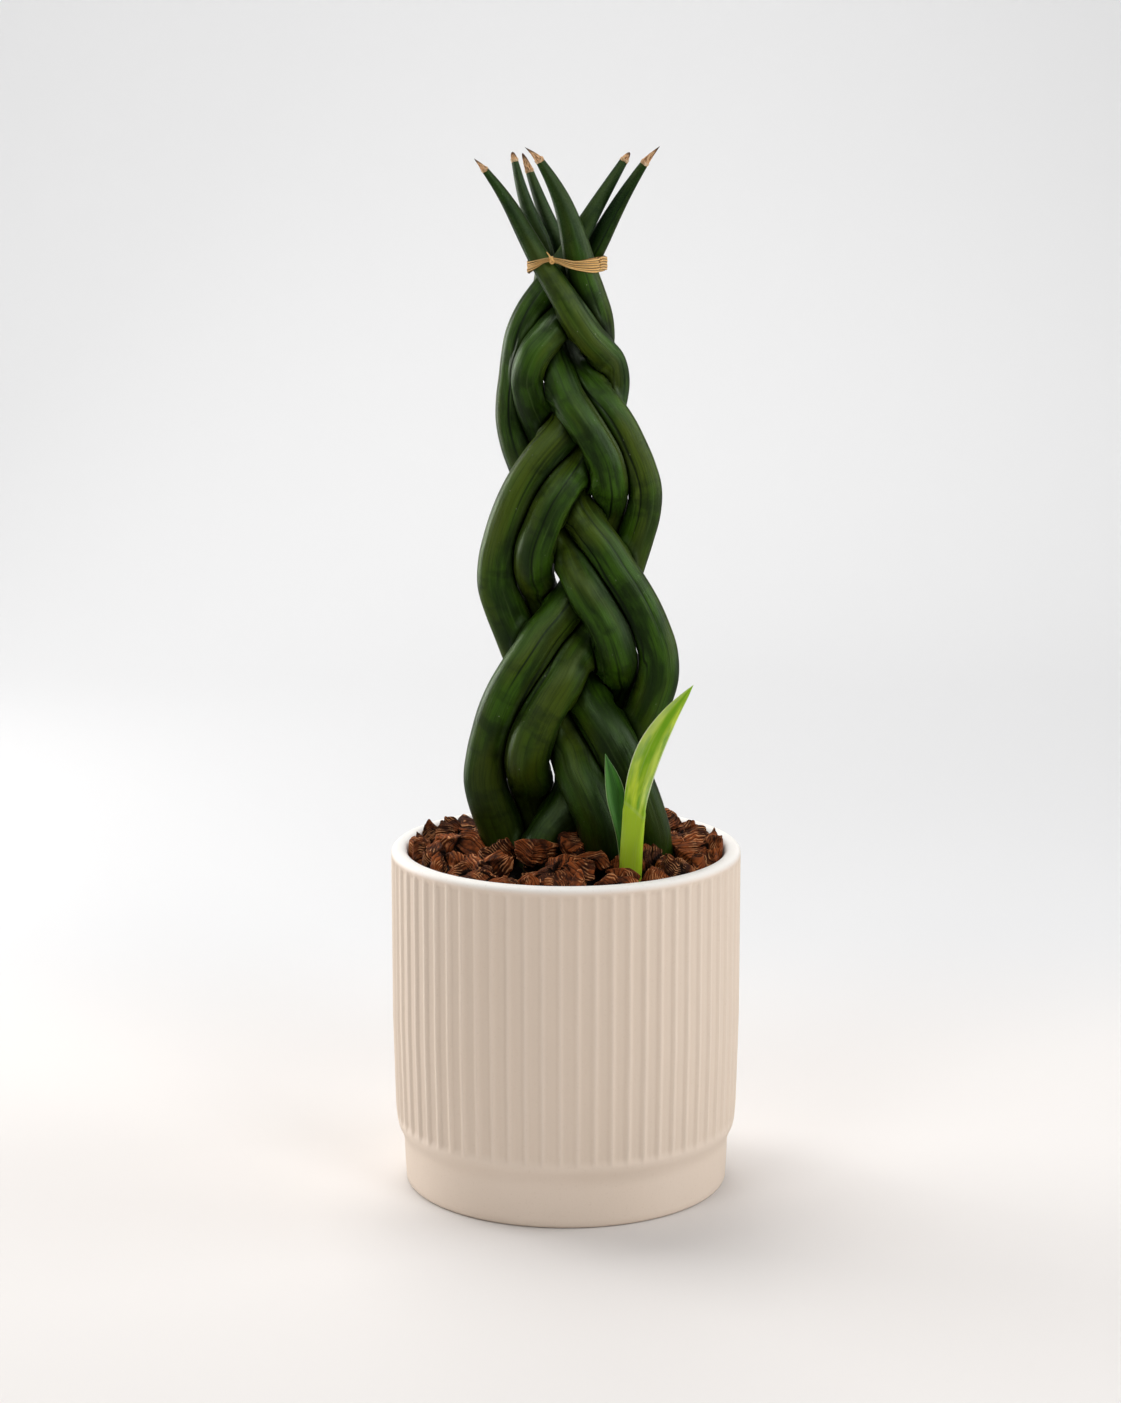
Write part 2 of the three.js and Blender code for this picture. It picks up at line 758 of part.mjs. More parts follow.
function tieGeometry(leaves, stems) {
  const near = leaves.flatMap((leaf) =>
    leaf.beads.filter((bead) => Math.abs(bead.z - TIE_Z) < TIE_GRIP),
  );
  const centre = new THREE.Vector2(
    near.reduce((sum, bead) => sum + bead.x, 0) / near.length,
    near.reduce((sum, bead) => sum + bead.y, 0) / near.length,
  );
  const nudge = 0.02;
  const onBand = (bearing, out) => {
    const reach = neckReach(leaves, centre, bearing) + out;
    const turn =
      (neckReach(leaves, centre, bearing + nudge) - neckReach(leaves, centre, bearing - nudge)) /
      (2 * nudge);
    return new THREE.Vector2(
      centre.x + reach * Math.cos(bearing) - turn * Math.sin(bearing),
      centre.y + reach * Math.sin(bearing) + turn * Math.cos(bearing),
    );
  };
  const corners = [
    [0, -0.5],
    [1, -0.5],
    [1, 0.5],
    [0, 0.5],
    [0, -0.5],
  ];
  const band = new THREE.LatheGeometry(
    corners.map(([out, up]) => new THREE.Vector2(10 + out, up)),
    TIE_SIDES,
  );
  const position = band.getAttribute("position");
  for (let i = 0; i < position.count; i++) {
    const [out, up] = corners[i % corners.length];
    const bearing =
      KNOT_ANGLE + (2 * Math.PI * (Math.floor(i / corners.length) % TIE_SIDES)) / TIE_SIDES;
    const far = 0.5 - 0.5 * Math.cos(bearing - KNOT_ANGLE);
    const height = THREE.MathUtils.lerp(...TIE_HEIGHT, Math.sqrt(far));
    const place = onBand(bearing, CLEARANCE + out * TIE_THICKNESS);
    position.setXYZ(i, place.x, place.y, TIE_Z + TIE_TILT * place.x + up * height);
  }
  const knotPlace = onBand(KNOT_ANGLE, CLEARANCE + TIE_THICKNESS);
  const knotCentre = [knotPlace.x, knotPlace.y, TIE_Z + TIE_TILT * knotPlace.x];
  const knot = new THREE.SphereGeometry(1, 10, 6).scale(...KNOT_SIZE.map((size) => size / 2));
  let tie = solidOf(band).add(solidOf(knot.translate(...knotCentre)));
  for (const lean of [-0.5, 0.75]) {
    const end = new THREE.BoxGeometry(TIE_END.width, TIE_END.thickness, TIE_END.length);
    end.translate(0, 0, TIE_END.length / 2);
    end.rotateX(0.35);
    end.rotateY(lean);
    tie = tie.add(solidOf(end.translate(knotCentre[0], knotCentre[1] - 0.2, knotCentre[2])));
  }
  return geometryOf(cutByStems(tie, stems));
}

// ---- Whole plant ----

settlePlait(LEAVES);
const leafHoles = LEAVES.map((leaf) => solidOf(leafGeometry(leaf, CLEARANCE)));
const pupHoles = [PUP_TALL, PUP_SHORT].map((blade) => solidOf(bladeGeometry(blade, CLEARANCE)));
const stems = [...leafHoles, ...pupHoles];
const feet = LEAVES.map(({ beads }) => {
  const { x, y } = beads.find((bead) => bead.z > BARK_BED_TOP);
  return new THREE.Vector2(x, y);
});

const plant = new THREE.Group();
plant.add(meshOf("pot", potGeometry(), CREAM_CERAMIC));
plant.add(meshOf("potting_mix", mixGeometry(stems), DARK_MIX));
plant.add(meshOf("bark_chips", barkGeometry(stems, feet), RED_BARK));
for (const leaf of LEAVES) plant.add(meshOf(leaf.name, leafGeometry(leaf), LEAF_GREEN));
plant.add(meshOf("raffia_tie", tieGeometry(LEAVES, leafHoles), RAFFIA));
plant.add(meshOf(PUP_TALL.name, bladeGeometry(PUP_TALL), PUP_GREEN));
plant.add(meshOf(PUP_SHORT.name, bladeGeometry(PUP_SHORT), PUP_DARK_GREEN));

export default plant;
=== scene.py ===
import math

import bmesh
import bpy
import numpy as np
from mathutils import Euler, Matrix, Vector, geometry, noise


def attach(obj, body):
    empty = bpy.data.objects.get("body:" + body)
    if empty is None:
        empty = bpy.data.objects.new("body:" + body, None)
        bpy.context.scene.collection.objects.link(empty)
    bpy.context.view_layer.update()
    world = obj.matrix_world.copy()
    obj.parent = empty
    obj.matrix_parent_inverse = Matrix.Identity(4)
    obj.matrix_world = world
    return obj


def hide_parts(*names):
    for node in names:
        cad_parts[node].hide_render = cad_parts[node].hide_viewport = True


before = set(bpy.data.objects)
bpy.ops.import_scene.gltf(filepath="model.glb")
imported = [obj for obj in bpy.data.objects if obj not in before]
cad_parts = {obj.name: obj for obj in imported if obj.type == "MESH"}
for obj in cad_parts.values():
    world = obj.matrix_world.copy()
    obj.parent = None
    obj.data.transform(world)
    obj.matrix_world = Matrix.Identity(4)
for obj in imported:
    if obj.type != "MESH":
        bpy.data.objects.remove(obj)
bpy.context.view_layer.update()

# ---- Pot ----
# A slip-cast ceramic pot: 64 upright flutes that run out softly above a plain, drawn-in foot, a smooth
# rounded rim, and a drain hole in a recessed underside. One fired piece under a matte cream glaze.


def smooth_step(low, high, value):
    share = np.clip((np.asarray(value, float) - low) / (high - low), 0, 1)
    return share * share * (3 - 2 * share)


def grid_faces(rows, around, close_rows=False):
    """Quads between rows of points that run round a piece."""
    last = rows if close_rows else rows - 1
    row = np.arange(last)[:, None]
    here, beside = np.arange(around)[None], (np.arange(around)[None] + 1) % around
    above = (row + 1) % rows
    corners = [row * around + here, row * around + beside, above * around + beside, above * around + here]
    return np.stack(corners, -1).reshape(-1, 4)


def tube_faces(rows, around):
    """Quads between the rings of a tube, and a fan from each end ring to an end point after its points."""
    ring = np.arange(around)
    beside = (ring + 1) % around
    last, first_end = (rows - 1) * around, rows * around
    faces = [tuple(face) for face in grid_faces(rows, around)]
    faces += [(first_end, b, a) for a, b in zip(ring, beside)]
    return faces + [(first_end + 1, last + a, last + b) for a, b in zip(ring, beside)]


def add_piece(name, points, faces, finishes, node):
    """A smooth piece from points in millimetres that stands for a node of the part."""
    mesh = bpy.data.meshes.new(name)
    mesh.from_pydata((np.asarray(points) / 1000).tolist(), [], [tuple(map(int, face)) for face in faces])
    mesh.validate()
    mesh.shade_smooth()
    for finish in finishes:
        mesh.materials.append(finish)
    piece = bpy.data.objects.new(name, mesh)
    bpy.context.collection.objects.link(piece)
    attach(piece, "root")
    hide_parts(node)
    return piece


def keep(piece, name, values):
    """Stores a number or a vector at each point for the finish to read."""
    values = np.asarray(values, np.float32)
    kind, field = ("FLOAT_VECTOR", "vector") if values.ndim == 2 else ("FLOAT", "value")
    layer = piece.data.attributes.new(name, kind, "POINT")
    layer.data.foreach_set(field, values.ravel())


def new_finish(name, roughness, gloss=0.25):
    finish = bpy.data.materials.new(name)
    finish.use_nodes = True
    tree = finish.node_tree
    shader = tree.nodes["Principled BSDF"]
    shader.inputs["Roughness"].default_value = roughness
    shader.inputs["Specular IOR Level"].default_value = gloss
    return finish, tree, shader


def add_node(tree, kind, inputs, **settings):
    """A shader node; an input is either another node's output or a plain value."""
    node = tree.nodes.new(kind)
    for setting, value in settings.items():
        setattr(node, setting, value)
    for socket, value in inputs.items():
        if isinstance(value, bpy.types.NodeSocket):
            tree.links.new(value, node.inputs[socket])
        else:
            node.inputs[socket].default_value = value
    return node


def read(tree, name, field="Fac"):
    return add_node(tree, "ShaderNodeAttribute", {}, attribute_name=name).outputs[field]


def object_place(tree):
    return add_node(tree, "ShaderNodeTexCoord", {}).outputs["Object"]


def axis_of(tree, vector, axis):
    return add_node(tree, "ShaderNodeSeparateXYZ", {0: vector}).outputs[axis]


def grain(tree, place, scale, detail=3.0, roughness=0.55):
    """Noise from 0 to 1 at points that are first stretched by scale."""
    stretched = add_node(tree, "ShaderNodeVectorMath", {0: place, 1: scale}, operation="MULTIPLY")
    sockets = {"Vector": stretched.outputs[0], "Scale": 1.0, "Detail": detail, "Roughness": roughness}
    return add_node(tree, "ShaderNodeTexNoise", sockets).outputs["Fac"]


def between(tree, value, low, high, start=0.0, end=1.0):
    """A number carried smoothly from low..high to start..end."""
    sockets = {0: value, 1: low, 2: high, 3: start, 4: end}
    return add_node(tree, "ShaderNodeMapRange", sockets, interpolation_type="SMOOTHSTEP").outputs[0]


def blend(tree, share, first, second):
    """Colour first with colour second laid over it by share."""
    colours = [c if isinstance(c, bpy.types.NodeSocket) else (*c, 1.0) for c in (first, second)]
    sockets = {0: share, 6: colours[0], 7: colours[1]}
    return add_node(tree, "ShaderNodeMix", sockets, data_type="RGBA").outputs[2]


def tint(tree, colour, second, value, low, high, most=1.0):
    """A colour that turns into a second one, up to a share of most, as value goes from low to high."""
    return blend(tree, between(tree, value, low, high, 0.0, most), colour, second)


def bump(tree, height, depth, shader):
    """Relief of that depth in millimetres on a shader, over any relief that it already has."""
    node = add_node(tree, "ShaderNodeBump", {"Height": height, "Distance": depth / 1000})
    if shader.inputs["Normal"].is_linked:
        tree.links.new(shader.inputs["Normal"].links[0].from_socket, node.inputs["Normal"])
    tree.links.new(node.outputs[0], shader.inputs["Normal"])


POT_RADIUS = 80
POT_WALL = 7.5
FLUTES = 64
FLUTE_DEPTH = 1.1
FLUTE_POINTS = 10
FIRST_CREST = math.radians(-91.9)
FOOT_SIDE = [(1.6, 74.3), (10, 74.75), (20, 75.1), (22, 75.5), (24.5, 76.5), (27, 77.7), (29.5, 78.3)]
FLUTED_SIDE = [(33, 78.7), (36, 78.95), (79, 80), (152, 80), (155.5, 79.95)]
CREAM = (0.85, 0.72, 0.605)
CREAM_POOLED_AND_SHADED_IN_FLUTES = (0.80, 0.67, 0.555)
CREAM_POOLED = (0.79, 0.655, 0.53)
FRECKLE = (0.66, 0.53, 0.41)
THIN_GLAZE_AND_HIGHLIGHT_AT_RIM = (0.95, 0.92, 0.88)
INSIDE_PAINTED_LIGHTER = (0.95, 0.93, 0.90)

inner = POT_RADIUS - POT_WALL
side_z = [1.6, 4, 8, 14, 18, 20, 21.5, 22.5, 23.5, 24.5, 25.5, 26.5, 27.5, 28.3, 29, 29.7, 30.4, 31.2, 32, 33]
side_z += [34.5, 37, 45, 60, 79, 100, 125, 145, 150, 151.5, 152.3, 153, 153.7, 154.4, 155, 155.5]
side_keys = np.array(FOOT_SIDE + FLUTED_SIDE)
wall = [(np.interp(z, side_keys[:, 0], side_keys[:, 1]), z) for z in side_z]
foot_edge = [(73.9, 0.9), (73.3, 0.35), (72.4, 0.05), (71, 0)]
rim = [(79.75, 156.4), (79.3, 157.1), (78.6, 157.65), (77.7, 157.95), (76.3, 158), (75, 157.9), (74, 157.5)]
rim += [(73.2, 156.8), (72.7, 155.8), (inner, 154.5), (inner, 149), (inner, 120), (inner, 60), (inner, 34)]
floor_line = [(69.5, 26), (67.8, 20), (67.6, 13.5), (66.2, 10.3), (63.5, 9), (30, 9), (8, 9), (7.3, 8.7)]
underside = [(7, 8), (7, 3.4), (7.4, 2.5), (30, 2.5), (58.5, 2.5), (60.5, 2), (61.4, 0.6), (62.6, 0), (66, 0)]
profile = np.array(underside + foot_edge[::-1] + wall + rim + floor_line)

around = FLUTES * FLUTE_POINTS
steps = np.arange(around)
from_crest = np.abs(((steps / FLUTE_POINTS + 0.5) % 1) - 0.5) * 2
hollow = smooth_step(0.06, 0.5, from_crest) - 0.06 * smooth_step(0.6, 1, from_crest)
on_wall = np.zeros(len(profile))
first = len(underside) + len(foot_edge)
wall_z = profile[first : first + len(wall), 1]
on_wall[first : first + len(wall)] = smooth_step(28.6, 33.5, wall_z) * (1 - smooth_step(152.4, 155.3, wall_z))
turn = FIRST_CREST + 2 * np.pi * steps / around
sunk = on_wall[:, None] * hollow
radius = profile[:, :1] - FLUTE_DEPTH * sunk
up = np.repeat(profile[:, 1:], around, 1)
pot_points = np.stack([radius * np.cos(turn), radius * np.sin(turn), up], -1).reshape(-1, 3)

glaze, tree, shader = new_finish("matte_cream_glaze", 0.5)
place = object_place(tree)
cloud = grain(tree, place, (18, 18, 9), 2)
speck = grain(tree, place, (900, 900, 900), 1)
# The flutes' hollows are a little darker than the crests: glaze that pools there, and painted shade in the
# hollows.
body = blend(tree, read(tree, "flute_crest"), CREAM_POOLED_AND_SHADED_IN_FLUTES, CREAM)
body = tint(tree, body, CREAM_POOLED, cloud, 0.3, 0.75, 0.35)
# The rim is paler: glaze that runs thin over it, and a painted highlight on its top.
body = tint(tree, body, THIN_GLAZE_AND_HIGHLIGHT_AT_RIM, axis_of(tree, place, "Z"), 0.1545, 0.1575)
# The inside of the wall is painted paler: painted light against the shade inside the pot.
body = blend(tree, read(tree, "inside"), body, INSIDE_PAINTED_LIGHTER)
body = tint(tree, body, FRECKLE, speck, 0.62, 0.75, 0.18)
tree.links.new(body, shader.inputs["Base Color"])
tree.links.new(between(tree, cloud, 0.2, 0.8, 0.44, 0.58), shader.inputs["Roughness"])
bump(tree, grain(tree, place, (1600, 1600, 1600), 2), 0.05, shader)
bump(tree, grain(tree, place, (140, 140, 60), 2), 0.12, shader)

pot_faces = grid_faces(len(profile), around, True)
pot = add_piece("fluted_pot", pot_points, pot_faces, [glaze], "pot")
keep(pot, "flute_crest", (1 - sunk).ravel())
top_of_rim = first + len(wall) + 4
keep(pot, "inside", np.repeat(np.arange(len(profile)) > top_of_rim, around))

# ---- Potting mix ----
# The peat and fine bark that fill the pot under the coarse bark and hold the stems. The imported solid
# has the right shape, so it stays and gets a dark crumbly finish.

MIX_BROWN = (0.035, 0.018, 0.010)
MIX_FLECK = (0.12, 0.065, 0.035)

crumb, tree, shader = new_finish("dark_potting_mix", 0.95)
place = object_place(tree)
crumbs = grain(tree, place, (450, 450, 450), 5, 0.7)
tree.links.new(tint(tree, MIX_BROWN, MIX_FLECK, crumbs, 0.45, 0.7), shader.inputs["Base Color"])
bump(tree, crumbs, 1.2, shader)
mix_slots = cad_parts["potting_mix"].data.materials
mix_slots.clear()
mix_slots.append(crumb)

# ---- Mature leaves ----
# Six spear leaves of one old plant, each a single fleshy growth: a round, shallowly ribbed stem that
# ends in a cone and a dry brown point with a papery collar. They are plaited in pairs while supple.

# length of the dry point, reach of the leaf where it begins, where its cone ends, how full the point
# is, how far the point hooks sideways, and how far the tip stands off sideways and up
LEAVES = {
    "leaf_front_left": (6.4, 1.6, 29, 0.95, -0.9, (0.2, 0.9)),
    "leaf_front_centre": (6.9, 1.95, 46, 1.0, -2.8, (1.2, -0.1)),
    "leaf_right_inner": (4.4, 1.9, 50, 0.5, 0.3, (-0.2, 0.9)),
    "leaf_right_outer": (9.0, 1.85, 46, 0.9, 1.7, (-0.5, 0.9)),
    "leaf_back_left": (3.8, 1.6, 30, 0.4, -0.2, (-0.2, 1.9)),
    "leaf_back_centre": (8.2, 1.9, 32, 0.55, -0.3, (-0.2, 2.2)),
}
# places seen from the front (sideways, up, reach) where the leaves stay apart (0) or are squeezed shut (1)
OPENINGS = [(-3.2, 195, 7, 0), (-2.7, 282, 5, 0), (-4, 361, 7, 1), (14, 325, 5, 1), (18, 243, 6, 1)]
OPENINGS += [(37, 248, 6, 1), (33, 320, 6, 1)]
SKIN_SWELL = 0.25
PRESS_LIMIT = 1.4
PRESS_BACK = 0.6
SKIN_GAP = 0.08
CLEFT_SHADE_REACH = 6.2
LEAF_AROUND = 84
COLLAR_AROUND = 28
RIDGES = 6
RIDGE_DEPTH = 0.035
GROOVES = 7
GROOVE_DEPTH = 0.42
BLACK_GREEN = (0.004, 0.008, 0.001)
DEEP_GREEN = (0.010, 0.026, 0.002)
BRIGHT_GREEN = (0.037, 0.096, 0.003)
OLIVE = (0.066, 0.092, 0.004)
PALE_GREEN = (0.10, 0.16, 0.04)
TAN = (0.72, 0.39, 0.17)
HUSK = (0.84, 0.58, 0.35)
STAINED = (0.19, 0.075, 0.024)
SCORCHED = (0.050, 0.020, 0.009)
CONE_GREEN = (0.005, 0.018, 0.005)
GROOVE_SHADE = (0.002, 0.004, 0.001)
CLEFT_PAINTED_SHADE = (0.001, 0.002, 0.0003)
SCAR = (0.38, 0.40, 0.30)
BROWN_BLACK_AT_FOOT = (0.012, 0.009, 0.004)


def leaf_rings(node):
    """Middle and reach of each ring of a packed leaf, from its tip to its foot, in millimetres."""
    shape = bmesh.new()
    shape.from_mesh(node.data)
    bmesh.ops.remove_doubles(shape, verts=shape.verts, dist=1e-5)
    ring = [max(shape.verts, key=lambda corner: corner.co.z)]
    reached = set(ring)
    middles, reaches = [], []
    while ring:
        places = np.array([corner.co for corner in ring]) * 1000
        middles.append(places.mean(0))
        reaches.append(np.linalg.norm(places - middles[-1], axis=1).max())
        following = {edge.other_vert(corner) for corner in ring for edge in corner.link_edges} - reached
        reached |= following
        ring = sorted(following, key=lambda corner: corner.index)
    shape.free()
    if reaches[-1] < 0.5:
        middles, reaches = middles[:-1], reaches[:-1]
    return np.array(middles), np.array(reaches)


def curve_through(points, stations, wanted):
    """A smooth curve through points at their stations, read at the wanted stations."""
    points = np.asarray(points, float).reshape(len(points), -1)
    slopes = np.gradient(points, stations, axis=0)
    span = np.clip(np.searchsorted(stations, wanted, "right") - 1, 0, len(stations) - 2)
    gap = (stations[span + 1] - stations[span])[:, None]
    t = (wanted - stations[span])[:, None] / gap
    before, after = points[span], points[span + 1]
    return (
        (2 * t**3 - 3 * t**2 + 1) * before
        + (t**3 - 2 * t**2 + t) * gap * slopes[span]
        + (-2 * t**3 + 3 * t**2) * after
        + (t**3 - t**2) * gap * slopes[span + 1]
    )


def unit(directions):
    return directions / np.linalg.norm(directions, axis=-1, keepdims=True)


def distances(points):
    """How far each point of a line lies from its first one, along the line."""
    return np.concatenate([[0], np.cumsum(np.linalg.norm(np.diff(points, axis=0), axis=1))])


def bearings(count):
    return 2 * np.pi * np.arange(count) / count


def frames_along(line, facing):
    """Sideways and forward directions at each point of a line."""
    along = unit(np.gradient(line, axis=0))
    side = unit(np.cross(along, facing))
    return side, np.cross(side, along)


def rings_along(line, side, front, sideways, forwards):
    """A ring of points round each point of a line, from how far each lies to the side and the front."""
    return line[:, None] + side[:, None] * sideways[..., None] + front[:, None] * forwards[..., None]


def leaf_course(middles, reaches, tip_length, collar_reach, cone_end, fullness, hook, stand_off):
    """Fine stations along a leaf from its tip, with its line, reach and directions there."""
    stations = distances(middles)
    length = stations[-1]
    fine = np.concatenate([np.arange(0, 14, 0.4), np.linspace(14, length, int((length - 14) / 1.8))])
    line = curve_through(middles, stations, fine)
    line += (1 - smooth_step(0, 55, fine))[:, None] * np.array([stand_off[0], 0, stand_off[1]])
    reach = np.maximum(curve_through(reaches, stations, fine)[:, 0], 0.0)
    reach += SKIN_SWELL * smooth_step(25, 70, fine)
    at_cone_end = np.interp(cone_end, fine, reach)
    along_cone = np.clip((fine - tip_length) / (cone_end - tip_length), 0, 1)
    straight = collar_reach + (at_cone_end - collar_reach) * along_cone
    reach = np.where(fine < cone_end, straight, reach)
    dry = fine < tip_length
    reach[dry] = 0.97 * collar_reach * (fine[dry] / tip_length) ** fullness
    side, front = frames_along(line, np.array([0.0, -1, 0]))
    line = line + np.array([hook, 0, 0]) * (np.maximum(1 - fine / tip_length, 0) ** 1.6)[:, None]
    return fine, line, reach, side, front


def leaf_surface(course, tip_length, dice):
    """Points of a fine leaf skin with its ribs and grooves, and what its finish needs to know."""
    fine, line, reach, side, front = course
    bearing = bearings(LEAF_AROUND)[None]
    along = fine[:, None]
    ribs = 1 - RIDGE_DEPTH * (0.5 - 0.5 * np.cos(RIDGES * bearing))
    groove = np.zeros((len(fine), LEAF_AROUND))
    for number in range(GROOVES):
        middle = (number + dice.uniform(-0.4, 0.4)) * 2 * np.pi / GROOVES
        middle = middle + 0.10 * np.sin(along / dice.uniform(35, 70) + dice.uniform(0, 6))
        away = np.abs((bearing - middle + np.pi) % (2 * np.pi) - np.pi) * reach[:, None]
        fade = smooth_step(-0.5, 0.6, np.sin(along / dice.uniform(25, 60) + dice.uniform(0, 6)))
        depth = dice.uniform(0.25, 0.9)
        groove = np.maximum(groove, depth * fade * np.exp(-((away / 0.4) ** 2)))
    groove *= smooth_step(9, 30, along)
    swell = np.sin(along / 23 + dice.uniform(0, 6)) * np.cos(bearing + along / 60) * 0.006
    swell += np.sin(along / 9 + 2 * bearing + dice.uniform(0, 6)) * 0.004
    out = reach[:, None] * (ribs - 0.01 + swell) - GROOVE_DEPTH * groove * np.minimum(1, reach[:, None] / 6)
    out = out + 0.10 * np.sin(7 * bearing + 3 * np.sin(along)) * (along < tip_length) * reach[:, None]
    points = rings_along(line, side, front, out * np.sin(bearing), out * np.cos(bearing))
    offset = dice.uniform(0, 900)
    skin = np.stack(np.broadcast_arrays(9 * np.sin(bearing), 9 * np.cos(bearing), along + offset), -1)
    return points, skin, groove


def pressed(points, course, others):
    """A leaf's skin squeezed against its neighbours, and how deep each point lies between them, for the
    painted shade in the clefts.
    """
    fine, line, reach, _, _ = course
    points = points.copy()
    clearance = np.full(points.shape[:2], 9.0)
    for other_line, other_reach in others:
        apart = np.linalg.norm(line[:, None] - other_line[None], axis=-1)
        nearest = apart.argmin(1)
        close = np.where(apart.min(1) < reach + other_reach[nearest] + 5)[0]
        if not len(close):
            continue
        window = np.clip(nearest[close][:, None] + np.arange(-8, 9)[None], 0, len(other_line) - 1)
        away = points[close][:, :, None] - other_line[window][:, None]
        gap = (np.linalg.norm(away, axis=-1) - other_reach[window][:, None]).min(-1)
        clearance[close] = np.minimum(clearance[close], gap)
        limit = np.full(gap.shape, PRESS_LIMIT)
        pressure = 1 - smooth_step(1.4, 4.2, gap - gap.min(1, keepdims=True))
        for sideways, height, wide, share in OPENINGS:
            squared = (points[close, :, 0] - sideways) ** 2 + (points[close, :, 2] - height) ** 2
            here = np.exp(-squared / wide**2)
            pressure = pressure * (1 - here) + share * here
            limit = limit + share * here
        push = np.clip(gap / 2 - SKIN_GAP, -PRESS_BACK, limit)
        push *= 1 - smooth_step(2 * limit, 2 * limit + 1.6, gap)
        push *= pressure * smooth_step(60, 85, fine[close])[:, None]
        points[close] += unit(points[close] - line[close][:, None]) * push[..., None]
    return points, 1 - smooth_step(0, CLEFT_SHADE_REACH, clearance)


def calculate(tree, operation, first, second):
    return add_node(tree, "ShaderNodeMath", {0: first, 1: second}, operation=operation).outputs[0]


def product(tree, first, second):
    return calculate(tree, "MULTIPLY", first, second)


def soften(shader, weight, radius):
    """Light that sinks a little way into thin plant tissue and scatters back out."""
    shader.inputs["Subsurface Weight"].default_value = weight
    shader.inputs["Subsurface Radius"].default_value = radius


leaf_skin, tree, shader = new_finish("waxy_leaf_skin", 0.4, 0.55)
skin = read(tree, "skin", "Vector")
mottle = grain(tree, skin, (0.14, 0.14, 0.035), 4, 0.6)
patches = grain(tree, skin, (0.06, 0.06, 0.016), 2, 0.5)
bands = grain(tree, skin, (0.05, 0.05, 0.11), 4, 0.6)
streaks = grain(tree, skin, (0.70, 0.70, 0.014), 3, 0.6)
threads = grain(tree, skin, (2.4, 2.4, 0.05), 3, 0.6)
pores = grain(tree, skin, (2.8, 2.8, 2.0), 4, 0.75)
green = tint(tree, DEEP_GREEN, BRIGHT_GREEN, mottle, 0.36, 0.64)
green = tint(tree, green, OLIVE, patches, 0.42, 0.62, 0.75)
green = tint(tree, green, BLACK_GREEN, bands, 0.50, 0.68, 0.6)
green = tint(tree, green, DEEP_GREEN, streaks, 0.55, 0.72, 0.5)
green = tint(tree, green, PALE_GREEN, streaks, 0.43, 0.3, 0.3)
green = tint(tree, green, BLACK_GREEN, threads, 0.50, 0.68, 0.55)
green = tint(tree, green, PALE_GREEN, pores, 0.52, 0.8, 0.25)
# The grooves are painted near black: painted shade in them.
green = tint(tree, green, GROOVE_SHADE, read(tree, "groove"), 0.05, 0.55, 0.92)
# Painted shade in the clefts where the leaf lies close against its neighbours.
green = blend(tree, product(tree, read(tree, "painted_cleft_shade"), 0.96), green, CLEFT_PAINTED_SHADE)
cone = between(tree, read(tree, "from_tip_mm"), 75, 30, 0.0, 0.62)
green = blend(tree, cone, green, CONE_GREEN)
scars = add_node(tree, "ShaderNodeTexVoronoi", {"Vector": skin, "Scale": 0.30}).outputs["Distance"]
scars = product(tree, between(tree, scars, 0.07, 0.04), between(tree, mottle, 0.5, 0.6))
green = blend(tree, scars, green, SCAR)
height = axis_of(tree, object_place(tree), "Z")
green = tint(tree, green, BLACK_GREEN, height, 0.235, 0.160, 0.55)
# The leaves turn brown-black at the foot, where they go down into the bark.
green = tint(tree, green, BROWN_BLACK_AT_FOOT, height, 0.158, 0.150, 0.9)
tree.links.new(green, shader.inputs["Base Color"])
satin = between(tree, pores, 0.25, 0.75, 0.28, 0.40)
waxy = calculate(tree, "SUBTRACT", satin, product(tree, cone, 0.12))
tree.links.new(waxy, shader.inputs["Roughness"])
shader.inputs["Specular Tint"].default_value = (0.66, 0.95, 0.52, 1.0)
shader.inputs["IOR"].default_value = 1.42
bump(tree, streaks, 0.2, shader)
bump(tree, pores, 0.12, shader)

dry_point, tree, shader = new_finish("dry_leaf_point", 0.75)
skin = read(tree, "skin", "Vector")
fibres = grain(tree, skin, (1.4, 1.4, 0.25), 3, 0.6)
blotch = grain(tree, skin, (0.35, 0.35, 0.55), 3)
husk = tint(tree, TAN, HUSK, fibres, 0.35, 0.65)
husk = tint(tree, husk, STAINED, blotch, 0.47, 0.58, 0.85)
burnt = calculate(tree, "ADD", read(tree, "from_tip"), product(tree, blotch, 0.7))
husk = tint(tree, husk, SCORCHED, burnt, 0.76, 0.50, 0.92)
one_side = between(tree, axis_of(tree, skin, "X"), -2.0, -7.0, 0.0, 0.8)
seam = product(tree, one_side, between(tree, burnt, 1.1, 0.7))
husk = blend(tree, seam, husk, SCORCHED)
tree.links.new(husk, shader.inputs["Base Color"])
bump(tree, fibres, 0.15, shader)

papery, tree, shader = new_finish("papery_collar", 0.7)
scrap = grain(tree, read(tree, "skin", "Vector"), (0.9, 0.9, 0.4), 3)
paper = tint(tree, (0.74, 0.56, 0.36), (0.45, 0.26, 0.12), scrap, 0.35, 0.65)
tree.links.new(paper, shader.inputs["Base Color"])
soften(shader, 0.1, (0.001, 0.0006, 0.0003))


